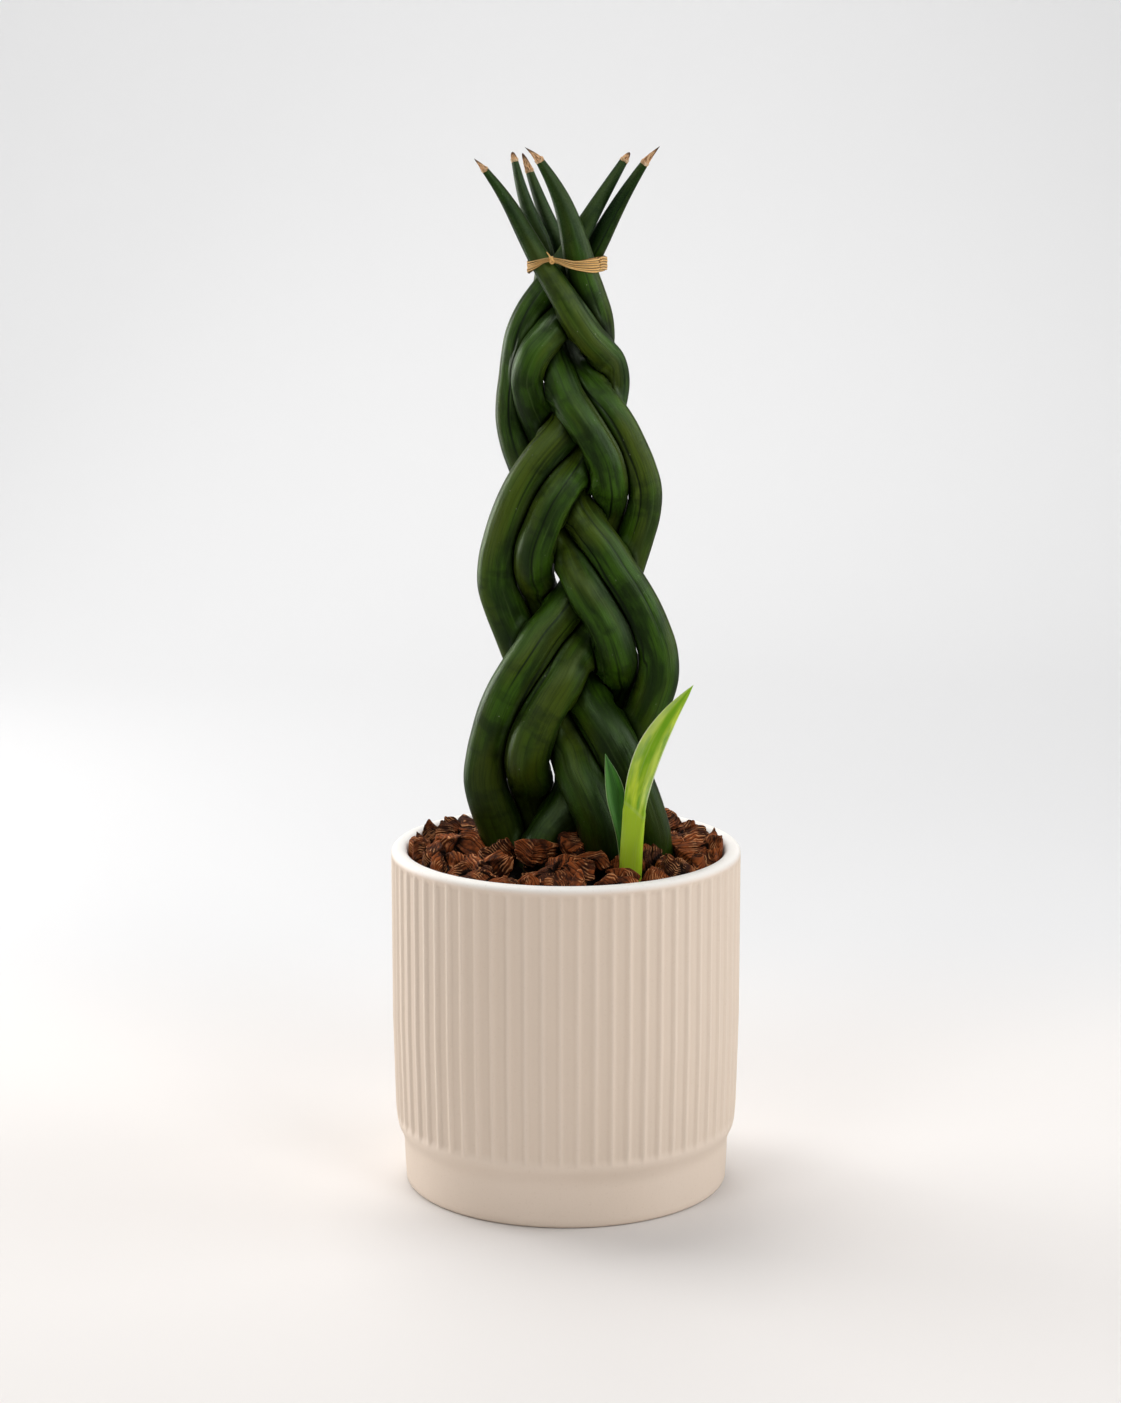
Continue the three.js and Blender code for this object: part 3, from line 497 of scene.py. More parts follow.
def ragged_collar(centre, side, front, along, reach, dice):
    """A thin papery sleeve round the top of the green, torn along its upper edge."""
    bearing = bearings(COLLAR_AROUND)
    tear = np.tile(dice.uniform(-0.6, 1.4, COLLAR_AROUND), 3)
    tear = np.convolve(tear, [0.25, 0.5, 0.25], "same")[COLLAR_AROUND : 2 * COLLAR_AROUND]
    levels = [(-0.7, 0.03), (0.0, 0.10), (0.6, 0.12), (1.1, 0.14)]
    levels += [(1.1, 0.04), (0.6, 0.0), (0.0, -0.03), (-0.7, -0.1)]
    rows = []
    for level, out in levels:
        ring = side * np.sin(bearing)[:, None] + front * np.cos(bearing)[:, None]
        rows.append(centre + (reach + out) * ring + along * (level * (0.5 + 0.6 * tear))[:, None])
    return np.array(rows).reshape(-1, 3), grid_faces(len(levels), COLLAR_AROUND, True)


leaf_clouds = {}
courses = {name: leaf_course(*leaf_rings(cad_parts[name]), *shape) for name, shape in LEAVES.items()}
leaf_lines = {name: (course[1], course[2]) for name, course in courses.items()}
for number, name in enumerate(LEAVES):
    dice = np.random.default_rng(410 + number)
    tip_length = LEAVES[name][0]
    fine, line, reach, side, front = courses[name]
    points, skin_place, groove = leaf_surface(courses[name], tip_length, dice)
    others = [leaf_lines[other] for other in LEAVES if other != name]
    points, cleft_shade = pressed(points, courses[name], others)
    at = int(np.searchsorted(fine, tip_length))
    along = unit(line[at - 1] - line[at])
    collar, collar_faces = ragged_collar(line[at], side[at], front[at], along, reach[at], dice)
    flat = points[1:].reshape(-1, 3)
    every = np.vstack([flat, line[:1], line[-1:], collar])
    faces = tube_faces(len(fine) - 1, LEAF_AROUND) + [tuple(face + len(flat) + 2) for face in collar_faces]
    leaf = add_piece(name + "_grown", every, faces, [leaf_skin, dry_point, papery], name)
    quads = (len(fine) - 2) * LEAF_AROUND
    numbers = np.zeros(len(faces), int)
    numbers[: (at - 1) * LEAF_AROUND] = 1
    numbers[quads : quads + LEAF_AROUND] = 1
    numbers[quads + 2 * LEAF_AROUND :] = 2
    leaf.data.polygons.foreach_set("material_index", numbers)
    ends = np.array([[0, 0, skin_place[0, 0, 2]], [0, 0, skin_place[-1, 0, 2]]])
    plain = np.zeros(2 + len(collar))
    from_tip = np.repeat(fine[1:], LEAF_AROUND)
    from_tip = np.concatenate([from_tip, [0, fine[-1]], np.full(len(collar), fine[at])])
    keep(leaf, "skin", np.vstack([skin_place[1:].reshape(-1, 3), ends, collar]))
    keep(leaf, "groove", np.concatenate([groove[1:].ravel(), plain]))
    keep(leaf, "painted_cleft_shade", np.concatenate([cleft_shade[1:].ravel(), plain]))
    keep(leaf, "from_tip", from_tip / tip_length)
    keep(leaf, "from_tip_mm", from_tip)
    leaf_clouds[name] = flat

# ---- Young offset ----
# Two young leaves that come up beside the plait from the same root: a tall channelled blade out of a
# pale sheath, bright yellow-green with thin pale margins, and a short blue-green one behind it.

BLADE_AROUND = 72
PALE_EDGE = (0.74, 0.80, 0.50)
DRY_TIP = (0.80, 0.74, 0.60)
# the way each blade faces, the places it grows through, and its half width, half thickness and the
# depth of its channel at distances from the foot
TALL_BLADE = {
    "facing": (-0.75, -1, 0),
    "course": [(27.5, -37, 124), (28.6, -38, 150), (29.8, -39, 172), (32.4, -40, 193)]
    + [(37.8, -41, 211), (45.6, -42, 226), (56, -43, 241)],
    "section": [(0, 4.6, 3.6, 0), (26, 5.2, 4, 0.3), (48, 5.3, 3.4, 1.2), (62, 5.8, 2.2, 2.4)]
    + [(75, 6.7, 1.4, 3.2), (90, 6.6, 1.1, 3), (103, 5.0, 1, 2.2), (113, 3.1, 0.8, 1.2)]
    + [(120, 1.5, 0.5, 0.4), (125, 0.06, 0.08, 0)],
}
SHORT_BLADE = {
    "facing": (0.5, -1, 0),
    "course": [(26.5, -30.5, 128), (25.6, -30.5, 150), (24.0, -31, 170), (21.6, -32, 190), (17.4, -33, 208)],
    "section": [(0, 1.6, 1.4, 0), (22, 1.3, 1.2, 0.1), (36, 1.4, 1.1, 0.3), (43, 2.0, 1.1, 0.6)]
    + [(51, 3.4, 1, 1.1), (59, 4.6, 0.95, 1.4), (67, 4.1, 0.9, 1.2), (74, 2.4, 0.75, 0.7)]
    + [(79, 0.8, 0.5, 0.2), (81.5, 0.06, 0.08, 0)],
}


def blade_surface(blade, sheath=0.0):
    """Points of a young leaf, with where each lies across and along the blade."""
    course = np.array(blade["course"], float)
    stations = distances(course)
    fine = np.linspace(0, stations[-1], int(stations[-1] / 0.8))
    line = curve_through(course, stations, fine)
    rows = np.array(blade["section"], float)
    rows[:, 0] *= stations[-1] / rows[-1, 0]
    wide, thick, channel = curve_through(rows[:, 1:], rows[:, 0], np.minimum(fine, rows[-1, 0])).T
    side, front = frames_along(line, np.array(blade["facing"], float))
    if sheath:
        lip = 0.28 * (1 - smooth_step(sheath - 0.8, sheath + 0.2, fine))
        wide, thick = wide + lip, thick + lip
    bearing = bearings(BLADE_AROUND)
    x, z = np.sin(bearing), np.cos(bearing)
    sideways = np.maximum(wide, 0.03)[:, None] * x
    forwards = np.maximum(thick, 0.03)[:, None] * z + channel[:, None] * (x**2 - 0.5)
    points = rings_along(line, side, front, sideways, forwards)
    across = np.repeat(x[None], len(fine), 0)
    upward = np.repeat(fine[:, None], BLADE_AROUND, 1)
    return points, across, upward, line


def add_blade(name, blade, finish, node, sheath=0.0):
    points, across, upward, line = blade_surface(blade, sheath)
    every = np.vstack([points.reshape(-1, 3), line[:1], line[-1:]])
    piece = add_piece(name, every, tube_faces(len(points), BLADE_AROUND), [finish], node)
    keep(piece, "across", np.concatenate([across.ravel(), [0, 0]]))
    keep(piece, "upward", np.concatenate([upward.ravel(), [0, upward[-1, 0]]]))


def young_finish(name, stalk, blade, stripe, margin, edge_share, sheath_top, top):
    """A satin young leaf: paler stalk, a greener middle stripe, thin pale margins and a dry pale tip."""
    finish, tree, shader = new_finish(name, 0.34)
    across, upward = read(tree, "across"), read(tree, "upward")
    wide = calculate(tree, "ABSOLUTE", across, 0.0)
    lines = add_node(tree, "ShaderNodeCombineXYZ", {0: across, 1: upward})
    veins = grain(tree, lines.outputs[0], (9, 0.02, 1), 3, 0.6)
    clouds = grain(tree, lines.outputs[0], (1.3, 0.045, 1), 3)
    colour = tint(tree, blade, stripe, clouds, 0.36, 0.64)
    on_stripe = between(tree, wide, 0.55, 0.1)
    risen = between(tree, upward, sheath_top + 4, sheath_top + 40)
    colour = blend(tree, product(tree, on_stripe, risen), colour, stripe)
    left_half = product(tree, between(tree, across, -0.25, -0.7), risen)
    colour = blend(tree, product(tree, left_half, 0.55), colour, margin)
    slanted = calculate(tree, "ADD", upward, product(tree, across, 2.4))
    colour = tint(tree, colour, stalk, slanted, sheath_top + 3, sheath_top - 3)
    lip = calculate(tree, "ABSOLUTE", calculate(tree, "SUBTRACT", slanted, sheath_top), 0.0)
    colour = tint(tree, colour, margin, lip, 1.2, 0.3, 0.2)
    colour = tint(tree, colour, margin, veins, 0.5, 0.75, 0.3)
    above_sheath = between(tree, upward, sheath_top, sheath_top + 12)
    edge = product(tree, between(tree, wide, 0.90, 0.97), above_sheath)
    colour = blend(tree, product(tree, edge, edge_share), colour, PALE_EDGE)
    colour = tint(tree, colour, DRY_TIP, upward, top - 1.6, top - 0.6)
    tree.links.new(colour, shader.inputs["Base Color"])
    soften(shader, 0.2, (0.0012, 0.0016, 0.0004))
    shader.inputs["Subsurface Scale"].default_value = 1.0
    bump(tree, veins, 0.1, shader)
    return finish


tall_colours = {"stalk": (0.42, 0.62, 0.025), "blade": (0.62, 0.78, 0.05)}
tall_colours |= {"stripe": (0.20, 0.44, 0.010), "margin": (0.48, 0.60, 0.22)}
bright = young_finish("young_leaf_bright", **tall_colours, edge_share=0.8, sheath_top=60, top=126.6)
short_colours = {"stalk": (0.26, 0.52, 0.04), "blade": (0.050, 0.185, 0.020)}
short_colours |= {"stripe": (0.028, 0.105, 0.013), "margin": (0.12, 0.30, 0.07)}
bluish = young_finish("young_leaf_bluish", **short_colours, edge_share=0.25, sheath_top=24, top=82.5)
add_blade("tall_young_leaf", TALL_BLADE, bright, "pup_leaf_tall", 60)
add_blade("short_young_leaf", SHORT_BLADE, bluish, "pup_leaf_short")

# ---- Bark ----
# Coarse chips of red-brown conifer bark, broken along their cork layers, heaped loose over the mix
# from the pot's wall up to the stems, with crumbs of the same bark in the gaps.

BED_TOP = 151
BED_ROWS, BED_AROUND = 46, 180
CRUMBS, WALL_CRUMBS = 100, 36
CHIP_COUNT = 46
CHIP_LENGTH = (15, 27)
CHIP_WIDTH = (10, 17)
CHIP_THICKNESS = (7, 11)
CHIP_STAND_OFF = 9
SQUARENESS = 10
BREAKS = 6
LAYER = 3.6
VOXEL = 1.6
BARK_DARK = (0.046, 0.011, 0.003)
BARK_RED = (0.265, 0.066, 0.015)
BARK_LIGHT = (0.56, 0.25, 0.10)
BARK_LIP_HIGHLIGHT = (0.76, 0.35, 0.15)
BARK_SEAM = (0.018, 0.005, 0.002)
BARK_HOLLOW_SHADE = (0.010, 0.003, 0.001)
BARK_SHADOW = (0.006, 0.002, 0.001)
BARK_DEPTH_SHADE = (0.004, 0.0015, 0.001)


def chip_dice(state):
    while True:
        state = (state * 1664525 + 1013904223) % 2**32
        yield state / 2**32


def block_template(cuts):
    """A welded cube of 2 mm with its faces cut into a grid, as points and quads."""
    block = bmesh.new()
    bmesh.ops.create_cube(block, size=2)
    bmesh.ops.subdivide_edges(block, edges=block.edges, cuts=cuts, use_grid_fill=True)
    block.verts.ensure_lookup_table()
    points = np.array([corner.co for corner in block.verts])
    faces = np.array([[corner.index for corner in face.verts] for face in block.faces])
    block.free()
    return points, faces


def outward(points, faces):
    """Directions out of a surface at its points."""
    a, b, c, d = (points[faces[:, k]] for k in range(4))
    across = np.cross(c - a, d - b)
    total = np.zeros_like(points)
    for k in range(4):
        np.add.at(total, faces[:, k], across)
    return total / np.maximum(np.linalg.norm(total, axis=1, keepdims=True), 1e-9)


def rough(points, size, octaves=2):
    return np.array([noise.fractal(Vector(p), 0.7, 2.0, octaves) for p in points / size])


def broken_bark(corners, template, seed, size=1.0):
    """A chip of bark: a crooked block broken off in flats, with the torn edges of its cork layers."""
    cube, faces = template
    reach = np.abs(cube).max(1) / (np.abs(cube) ** SQUARENESS).sum(1) ** (1 / SQUARENESS)
    u, v, w = (cube * reach[:, None]).T
    points = np.zeros((len(cube), 3))
    for corner, (sx, sy, sz) in zip(corners, CORNER_ORDER):
        points += ((1 + sx * u) * (1 + sy * v) * (1 + sz * w) / 8)[:, None] * corner
    middle = points.mean(0)
    breaks = np.random.default_rng(5000 + seed)
    for _ in range(BREAKS):
        way = unit(breaks.normal(size=3))
        beyond = (points - middle) @ way
        beyond -= np.percentile(beyond, 99.9) * breaks.uniform(0.45, 0.75)
        points = points - np.maximum(beyond, 0)[:, None] * way * 0.94
    shift = points + seed * 37.0
    warp = np.stack([rough(shift + k * 91.0, 9 * size) for k in range(3)], -1)
    points = points + 0.6 * size * warp
    layer_way = unit(corners[0] + corners[2] + corners[4] + corners[6] - corners[[1, 3, 5, 7]].sum(0))
    strata = (points - middle) @ layer_way + 2.6 * size * rough(shift + 777.0, 13 * size)
    out = outward(points, faces)
    level = np.floor(strata / LAYER / size)
    within = strata / LAYER / size - level
    torn = np.array([noise.noise(Vector(p)) for p in (shift / (8 * size) + level[:, None] * 3.7)])
    lip = within - smooth_step(0.72, 1.0, within) * 1.0
    push = size * (1.0 * torn + 0.9 * lip - 0.2)
    points = points + out * push[:, None]
    points = points + out * (0.12 * size * rough(points + seed, 2.6 * size, 2))[:, None]
    return points, faces, strata / size


def edge_wear_and_hollow_shade(points, faces):
    """How far each point stands out of its neighbours: edges that stand out are painted paler, for rubbed
    wear and a painted highlight, and hollows darker, as painted shade.
    """
    total, count = np.zeros_like(points), np.zeros(len(points))
    for k in range(4):
        for step in (1, 3):
            np.add.at(total, faces[:, k], points[faces[:, (k + step) % 4]])
            np.add.at(count, faces[:, k], 1)
    out = outward(points, faces)
    return ((points - total / count[:, None]) * out).sum(1)


CORNER_ORDER = [(1, 1, 1), (1, 1, -1), (1, -1, 1), (1, -1, -1)]
CORNER_ORDER += [(-1, 1, -1), (-1, 1, 1), (-1, -1, -1), (-1, -1, 1)]
DICE_ORDER = [(1, 1, 1), (1, -1, 1), (1, 1, -1), (1, -1, -1)]
DICE_ORDER += [(-1, 1, -1), (-1, -1, -1), (-1, 1, 1), (-1, -1, 1)]

dice = chip_dice(20260)
stem_places = [line[np.argmin(np.abs(line[:, 2] - 153))] for line, _ in leaf_lines.values()]
golden = math.pi * (3 - math.sqrt(5))
chips = []
for number in range(CHIP_COUNT):
    reach = POT_RADIUS - POT_WALL - 5.5
    out = reach * math.sqrt((number + 0.5) / CHIP_COUNT) + 4 * (next(dice) - 0.5)
    round_pot = number * golden + 0.25 * (next(dice) - 0.5)
    height = BED_TOP + 1 + 8 * (1 - out / reach) + 4 * next(dice)
    size = [low + (high - low) * next(dice) for low, high in (CHIP_LENGTH, CHIP_WIDTH, CHIP_THICKNESS)]
    placed = {}
    for signs in DICE_ORDER:
        placed[signs] = [s * c / 2 * (0.62 + 0.6 * next(dice)) for s, c in zip(size, signs)]
    corners = np.array([placed[signs] for signs in CORNER_ORDER])
    lean = [0.9 * (next(dice) - 0.5), 0.9 * (next(dice) - 0.5), 2 * math.pi * next(dice)]
    turned = np.array(Euler(lean, "ZYX").to_matrix())
    spot = np.array([out * math.cos(round_pot), out * math.sin(round_pot), height])
    if min(np.hypot(*(place - spot)[:2]) for place in stem_places) < CHIP_STAND_OFF:
        continue
    chips.append((corners @ turned.T + spot, number))


def tuck_in(points):
    """Keeps bark inside the pot's wall and out of the stems."""
    out = np.hypot(points[:, 0], points[:, 1])
    limit = POT_RADIUS - POT_WALL - 0.25
    squeezed = np.where(out > limit - 2, limit - 2 * np.exp(-(out - limit + 2) / 2), out)
    points[:, :2] *= (squeezed / out)[:, None]
    for line, reach in leaf_lines.values():
        nearest = np.abs(points[:, 2:] - line[None, :, 2]).argmin(1)
        away = points[:, :2] - line[nearest, :2]
        gap = np.maximum(np.hypot(*away.T), 0.1)
        push = np.maximum(reach[nearest] + 0.4 - gap, 0)
        points[:, :2] += away / gap[:, None] * push[:, None]
    return points


bark, tree, shader = new_finish("torn_cork_bark", 0.78, 0.13)
place = object_place(tree)
wear_and_hollow_shade = read(tree, "wear_and_hollow_shade")
wobble = grain(tree, place, (170, 170, 170), 3, 0.5)
wavy = calculate(tree, "ADD", read(tree, "strata"), product(tree, wobble, 1.9))
fine_layer = calculate(tree, "FRACT", product(tree, wavy, 2.7 / LAYER), 0.0)
falling = between(tree, fine_layer, 1.0, 0.8)
ridge = product(tree, between(tree, fine_layer, 0.0, 0.62), falling)
patch = grain(tree, place, (90, 90, 90), 3, 0.6)
fibre = grain(tree, place, (420, 420, 420), 3, 0.6)
colour = tint(tree, BARK_DARK, BARK_RED, patch, 0.40, 0.58)
colour = tint(tree, colour, BARK_LIGHT, fibre, 0.52, 0.72, 0.14)
colour = tint(tree, colour, BARK_SEAM, ridge, 0.34, 0.0, 0.8)
# Painted highlight along patches of the torn layer lips.
on_lip = between(tree, ridge, 0.88, 1.0, 0.0, 0.62)
stretch = grain(tree, place, (150, 150, 150), 2, 0.5)
lit_ridge = product(tree, on_lip, between(tree, stretch, 0.50, 0.60))
colour = blend(tree, lit_ridge, colour, BARK_LIP_HIGHLIGHT)
# Edges that stand out turn paler, for rubbed wear and a painted highlight; hollows are painted dark as shade.
colour = tint(tree, colour, BARK_LIGHT, wear_and_hollow_shade, 0.12, 0.34, 0.6)
colour = tint(tree, colour, BARK_HOLLOW_SHADE, wear_and_hollow_shade, -0.03, -0.22, 0.88)
colour = tint(tree, colour, BARK_SHADOW, read(tree, "shut_in"), 0.25, 0.9, 0.95)
# Painted shade low in the heap, below each chip's middle.
colour = tint(tree, colour, BARK_DEPTH_SHADE, read(tree, "depth"), 0.1, 0.75, 0.97)
tree.links.new(colour, shader.inputs["Base Color"])
bump(tree, ridge, 0.4, shader)
bump(tree, fibre, 0.25, shader)

heap = []
templates = {"bark_front_left": 33, "bark_front_right": 33, "bark_rear": 19}
templates = {name: block_template(cuts) for name, cuts in templates.items()}
for corners, number in chips:
    middle = corners.mean(0)
    name = "bark_rear" if middle[1] > 6 else ("bark_front_left" if middle[0] < 0 else "bark_front_right")
    points, faces, strata = broken_bark(corners, templates[name], number)
    heap.append((name, tuck_in(points), faces, strata + 5 * number, middle[2]))

crumb_dice = np.random.default_rng(77)
small, medium = block_template(6), block_template(13)
for number in range(CRUMBS):
    by_wall = number < WALL_CRUMBS
    out = 69 + crumb_dice.uniform(-1.5, 1) if by_wall else 66 * math.sqrt(crumb_dice.uniform(0.05, 1))
    round_pot = (number + crumb_dice.uniform(0, 0.8)) * 2 * math.pi / WALL_CRUMBS
    size = crumb_dice.uniform(11, 18, 3) if by_wall else crumb_dice.uniform(3, 9, 3)
    spin = np.linalg.qr(crumb_dice.normal(size=(3, 3)))[0]
    height = crumb_dice.uniform(*((153.5, 156.5) if by_wall else (149, 153)))
    height += 0 if by_wall else 4 * (1 - out / 68)
    spot = np.array([out * math.cos(round_pot), out * math.sin(round_pot), height])
    block = np.array(CORNER_ORDER) * size * (1, 0.8, 0.6) / 2 * crumb_dice.uniform(0.7, 1.1, (8, 3))
    template = medium if by_wall else small
    points, faces, strata = broken_bark(block @ spin.T + spot, template, 200 + number, 0.7)
    heap.append(("bark_crumbs", tuck_in(points), faces, strata, spot[2]))


def shut_in(heap):
    """How closely the rest of the heap shuts in each point of each chip, from 0 to 1."""
    corner = np.vstack([row[1] for row in heap]).min(0) - 5
    cells = [np.floor((row[1] - corner) / VOXEL).astype(int) for row in heap]
    filled = np.zeros(np.max([rows.max(0) for rows in cells], 0) + 6, np.float32)
    for rows in cells:
        filled[tuple(np.unique(rows, axis=0).T)] += 1
    shares = []
    for (_, points, faces, *_), rows in zip(heap, cells):
        others = filled.copy()
        others[tuple(np.unique(rows, axis=0).T)] -= 1
        for axis in range(3):
            others = others + np.roll(others, 1, axis) + np.roll(others, -1, axis)
        out = outward(points, faces)
        ahead = np.floor((points + 1.3 * out - corner) / VOXEL).astype(int)
        open_above = 1 - 0.8 * smooth_step(0.2, 0.7, out[:, 2])
        shares.append(np.clip(others[tuple(ahead.T)] / 9, 0, 1) * open_above)
    return shares


closeness = shut_in(heap)
bed_out = np.linspace(0.5, POT_RADIUS - POT_WALL - 0.4, BED_ROWS)[:, None]
bed_turn = bearings(BED_AROUND)
bed = np.stack(np.broadcast_arrays(bed_out * np.cos(bed_turn), bed_out * np.sin(bed_turn), 0.0), -1)
bed = bed.reshape(-1, 3)
bed[:, 2] = 147 + 2.5 * rough(bed + 50, 6, 3) + 3.5 * (1 - np.hypot(bed[:, 0], bed[:, 1]) / 72)
under = np.vstack([bed[-BED_AROUND:], bed[:BED_AROUND]]) * (1, 1, 0) + (0, 0, 130)
bed_points = np.vstack([bed, under])
bed_faces = grid_faces(BED_ROWS + 2, BED_AROUND, True)
# The bed under the chips counts as deep and fully shut in: it is painted in full shade.
heap.append(("bark_crumbs", bed_points, bed_faces, bed_points[:, 2] * 0.8, 170))
closeness.append(np.ones(len(bed_points)))
for name in ("bark_front_left", "bark_front_right", "bark_rear", "bark_crumbs"):
    rows = [(row, share) for row, share in zip(heap, closeness) if row[0] == name]
    starts = np.cumsum([0] + [len(row[1]) for row, _ in rows])
    faces = np.vstack([row[2] + start for (row, _), start in zip(rows, starts)])
    piece = add_piece(name, np.vstack([row[1] for row, _ in rows]), faces, [bark], "bark_chips")
    keep(piece, "strata", np.concatenate([row[3] for row, _ in rows]))
    # How far each point lies below its chip's middle, for the painted shade deep in the heap.
    keep(piece, "depth", np.concatenate([smooth_step(row[4], row[4] - 7, row[1][:, 2]) for row, _ in rows]))
    keep(piece, "wear_and_hollow_shade", np.concatenate([edge_wear_and_hollow_shade(row[1], row[2]) for row, _ in rows]))
    keep(piece, "shut_in", np.concatenate([share for _, share in rows]))

# ---- Raffia tie ----
# Two turns of one strip of dried palm raffia, pulled tight round the six leaves at the neck of the
# plait and closed at the front with a small hard knot, with one short cut end that stands up and
# one small loop.

TIE_HEIGHT = 422.4
TIE_TILT = 0.07
KNOT_BEARING = math.radians(-106)
FIRST_TURN_FIBRES, SECOND_TURN_FIBRES = 6, 5
TURN_POINTS = 40
FIBRE_AROUND, CORD_AROUND = 12, 14
RAFFIA_GOLD = (0.95, 0.60, 0.22)
RAFFIA_SHADE = (0.50, 0.24, 0.06)
RAFFIA_PALE = (0.98, 0.84, 0.56)
RAFFIA_STAIN = (0.62, 0.32, 0.09)
RAFFIA_EDGE_SHADE = (0.12, 0.048, 0.012)


def hull_round(points):
    """The tight outline round points seen from above, in order from the leftmost."""
    outline = points[geometry.convex_hull_2d(points.tolist())]
    return np.roll(outline, -outline[:, 0].argmin(), 0)


def spaced_round(outline, count, start_bearing):
    """Evenly spaced points round a closed outline, from the one nearest a bearing."""
    closed = np.vstack([outline, outline[:1]])
    stations = distances(closed)
    at = np.linspace(0, stations[-1], count, endpoint=False)
    even = np.stack([np.interp(at, stations, closed[:, k]) for k in range(2)], -1)
    middle = even.mean(0)
    bearing = np.arctan2(*(even - middle).T[::-1])
    start = np.abs(np.angle(np.exp(1j * (bearing - start_bearing)))).argmin()
    return np.roll(even, -start, 0)


def raffia_thread(line, out, up, height, thickness, phase, end=0.0):
    """One flat fibre of the strip as a closed loop, round in section."""
    share, lift = np.sin(bearings(FIBRE_AROUND)), np.cos(bearings(FIBRE_AROUND))
    raised = thickness * (0.5 + 0.5 * lift)[None]
    points = rings_along(line, up, out, height[:, None] * share / 2, raised)
    # Each fibre darkens towards its edges and along a cut end: painted shade in the gaps between fibres.
    dark = np.maximum(np.abs(share), np.broadcast_to(end, len(line))[:, None])
    along = np.arange(len(line))[:, None] * 0.35
    strands = np.stack(np.broadcast_arrays(share * 1.5 + phase, along, dark), -1)
    return points.reshape(-1, 3), strands.reshape(-1, 3), grid_faces(len(line), len(share), True)


raffia, tree, shader = new_finish("dry_raffia", 0.55)
strands = read(tree, "strands", "Vector")
threads = grain(tree, strands, (3.2, 0.06, 0), 4, 0.7)
stain = grain(tree, strands, (0.4, 0.20, 0), 2)
colour = tint(tree, RAFFIA_SHADE, RAFFIA_GOLD, threads, 0.38, 0.52)
colour = tint(tree, colour, RAFFIA_PALE, threads, 0.55, 0.68, 0.8)
colour = tint(tree, colour, RAFFIA_STAIN, stain, 0.5, 0.75, 0.5)
# Painted shade between the fibres and at the cut end.
colour = tint(tree, colour, RAFFIA_EDGE_SHADE, axis_of(tree, strands, "Z"), 0.35, 0.9, 0.92)
tree.links.new(colour, shader.inputs["Base Color"])
soften(shader, 0.08, (0.001, 0.0006, 0.0003))
bump(tree, threads, 0.2, shader)

leaf_cloud = np.vstack(list(leaf_clouds.values()))
in_tie = np.abs(leaf_cloud[:, 2] - TIE_HEIGHT - TIE_TILT * leaf_cloud[:, 0]) < 2.6
tight = spaced_round(hull_round(leaf_cloud[in_tie][:, :2]), 260, KNOT_BEARING)
run = unit(np.roll(tight, -1, 0) - np.roll(tight, 1, 0))
outwards = np.stack([run[:, 1], -run[:, 0], np.zeros(len(run))], -1)
upwards = np.tile([0.0, 0, 1], (len(run), 1))
share = np.arange(len(run)) / len(run)
from_knot = np.minimum(share, 1 - share)
tie_points, tie_strands, tie_faces = [], [], []


def add_to_tie(points, strand_places, faces):
    start = sum(map(len, tie_points))
    tie_faces.extend(tuple(corner + start for corner in face) for face in faces)
    tie_points.append(points)
    tie_strands.append(strand_places)


signed = np.where(share < 0.5, share, share - 1)
rise_right = -1.3 * np.exp(-(((signed - 0.14) / 0.09) ** 2)) - 0.9 * smooth_step(0.2, 0.33, signed)
rise_right -= 1.3 * smooth_step(0.10, 0.25, signed)
rise_left = -0.5 * smooth_step(0.0, 0.16, -signed)
band_middle = 0.9 + np.where(signed >= 0, rise_right, rise_left) + 2.9 * np.exp(-((signed / 0.055) ** 2))
band_height = 1.6 + 2.2 * smooth_step(0.01, 0.07, from_knot) + 2.6 * smooth_step(0.06, 0.16, from_knot)
band = np.column_stack([tight, TIE_HEIGHT + TIE_TILT * tight[:, 0] + band_middle])
tie_dice = np.random.default_rng(9)
for number in range(FIRST_TURN_FIBRES):
    place = (number + 0.5) / FIRST_TURN_FIBRES - 0.5
    sway = 0.14 * np.sin(2 * np.pi * (3 * share + tie_dice.uniform()))
    proud = 0.08 + 0.22 * (number % 2) + 0.12 * np.sin(2 * np.pi * (2 * share + tie_dice.uniform()))
    fibre_line = band + upwards * (band_height * place + sway)[:, None] + outwards * proud[:, None]
    wide = band_height / FIRST_TURN_FIBRES * 1.06
    add_to_tie(*raffia_thread(fibre_line, outwards, upwards, wide, 0.8, 3.0 * number))
# A dark line across the band where the second turn begins: its cut edge, with painted shade under it.
cut_end = np.exp(-(((share - 0.197) / 0.005) ** 2))
second_turn = smooth_step(0.196, 0.204, share) * (1 - smooth_step(0.80, 0.84, share))
for number in range(SECOND_TURN_FIBRES):
    place = (number + 0.5) / SECOND_TURN_FIBRES - 0.5
    slope = 1.5 * np.cos(2 * np.pi * (share - 0.21) * 1.6) - 0.5
    proud = -0.5 + 1.6 * second_turn + 0.15 * (number % 2)
    rise = 0.92 * band_height * place + 0.7 * slope
    fibre_line = band + upwards * rise[:, None] + outwards * proud[:, None]
    wide = band_height / SECOND_TURN_FIBRES * 0.95
    add_to_tie(*raffia_thread(fibre_line, outwards, upwards, wide, 0.6, 30.0 + 3 * number, cut_end))

knot_middle = band[0] + outwards[0] * 0.8
knot_side = np.append(run[0], 0)


def knot_turn(lean, wide, tall, deep, start, sweep, rise):
    """The middle line of a turn of the strip that is pulled over the knot."""
    t = np.linspace(0, 1, TURN_POINTS)
    angle = start + sweep * t
    line = knot_middle + outwards[0] * (deep * np.cos(angle))[:, None]
    line = line + (0, 0, 1) * (tall * np.sin(angle) + rise * (t - 0.5))[:, None]
    return line + knot_side * (wide * (t - 0.5) + lean * np.sin(angle))[:, None]


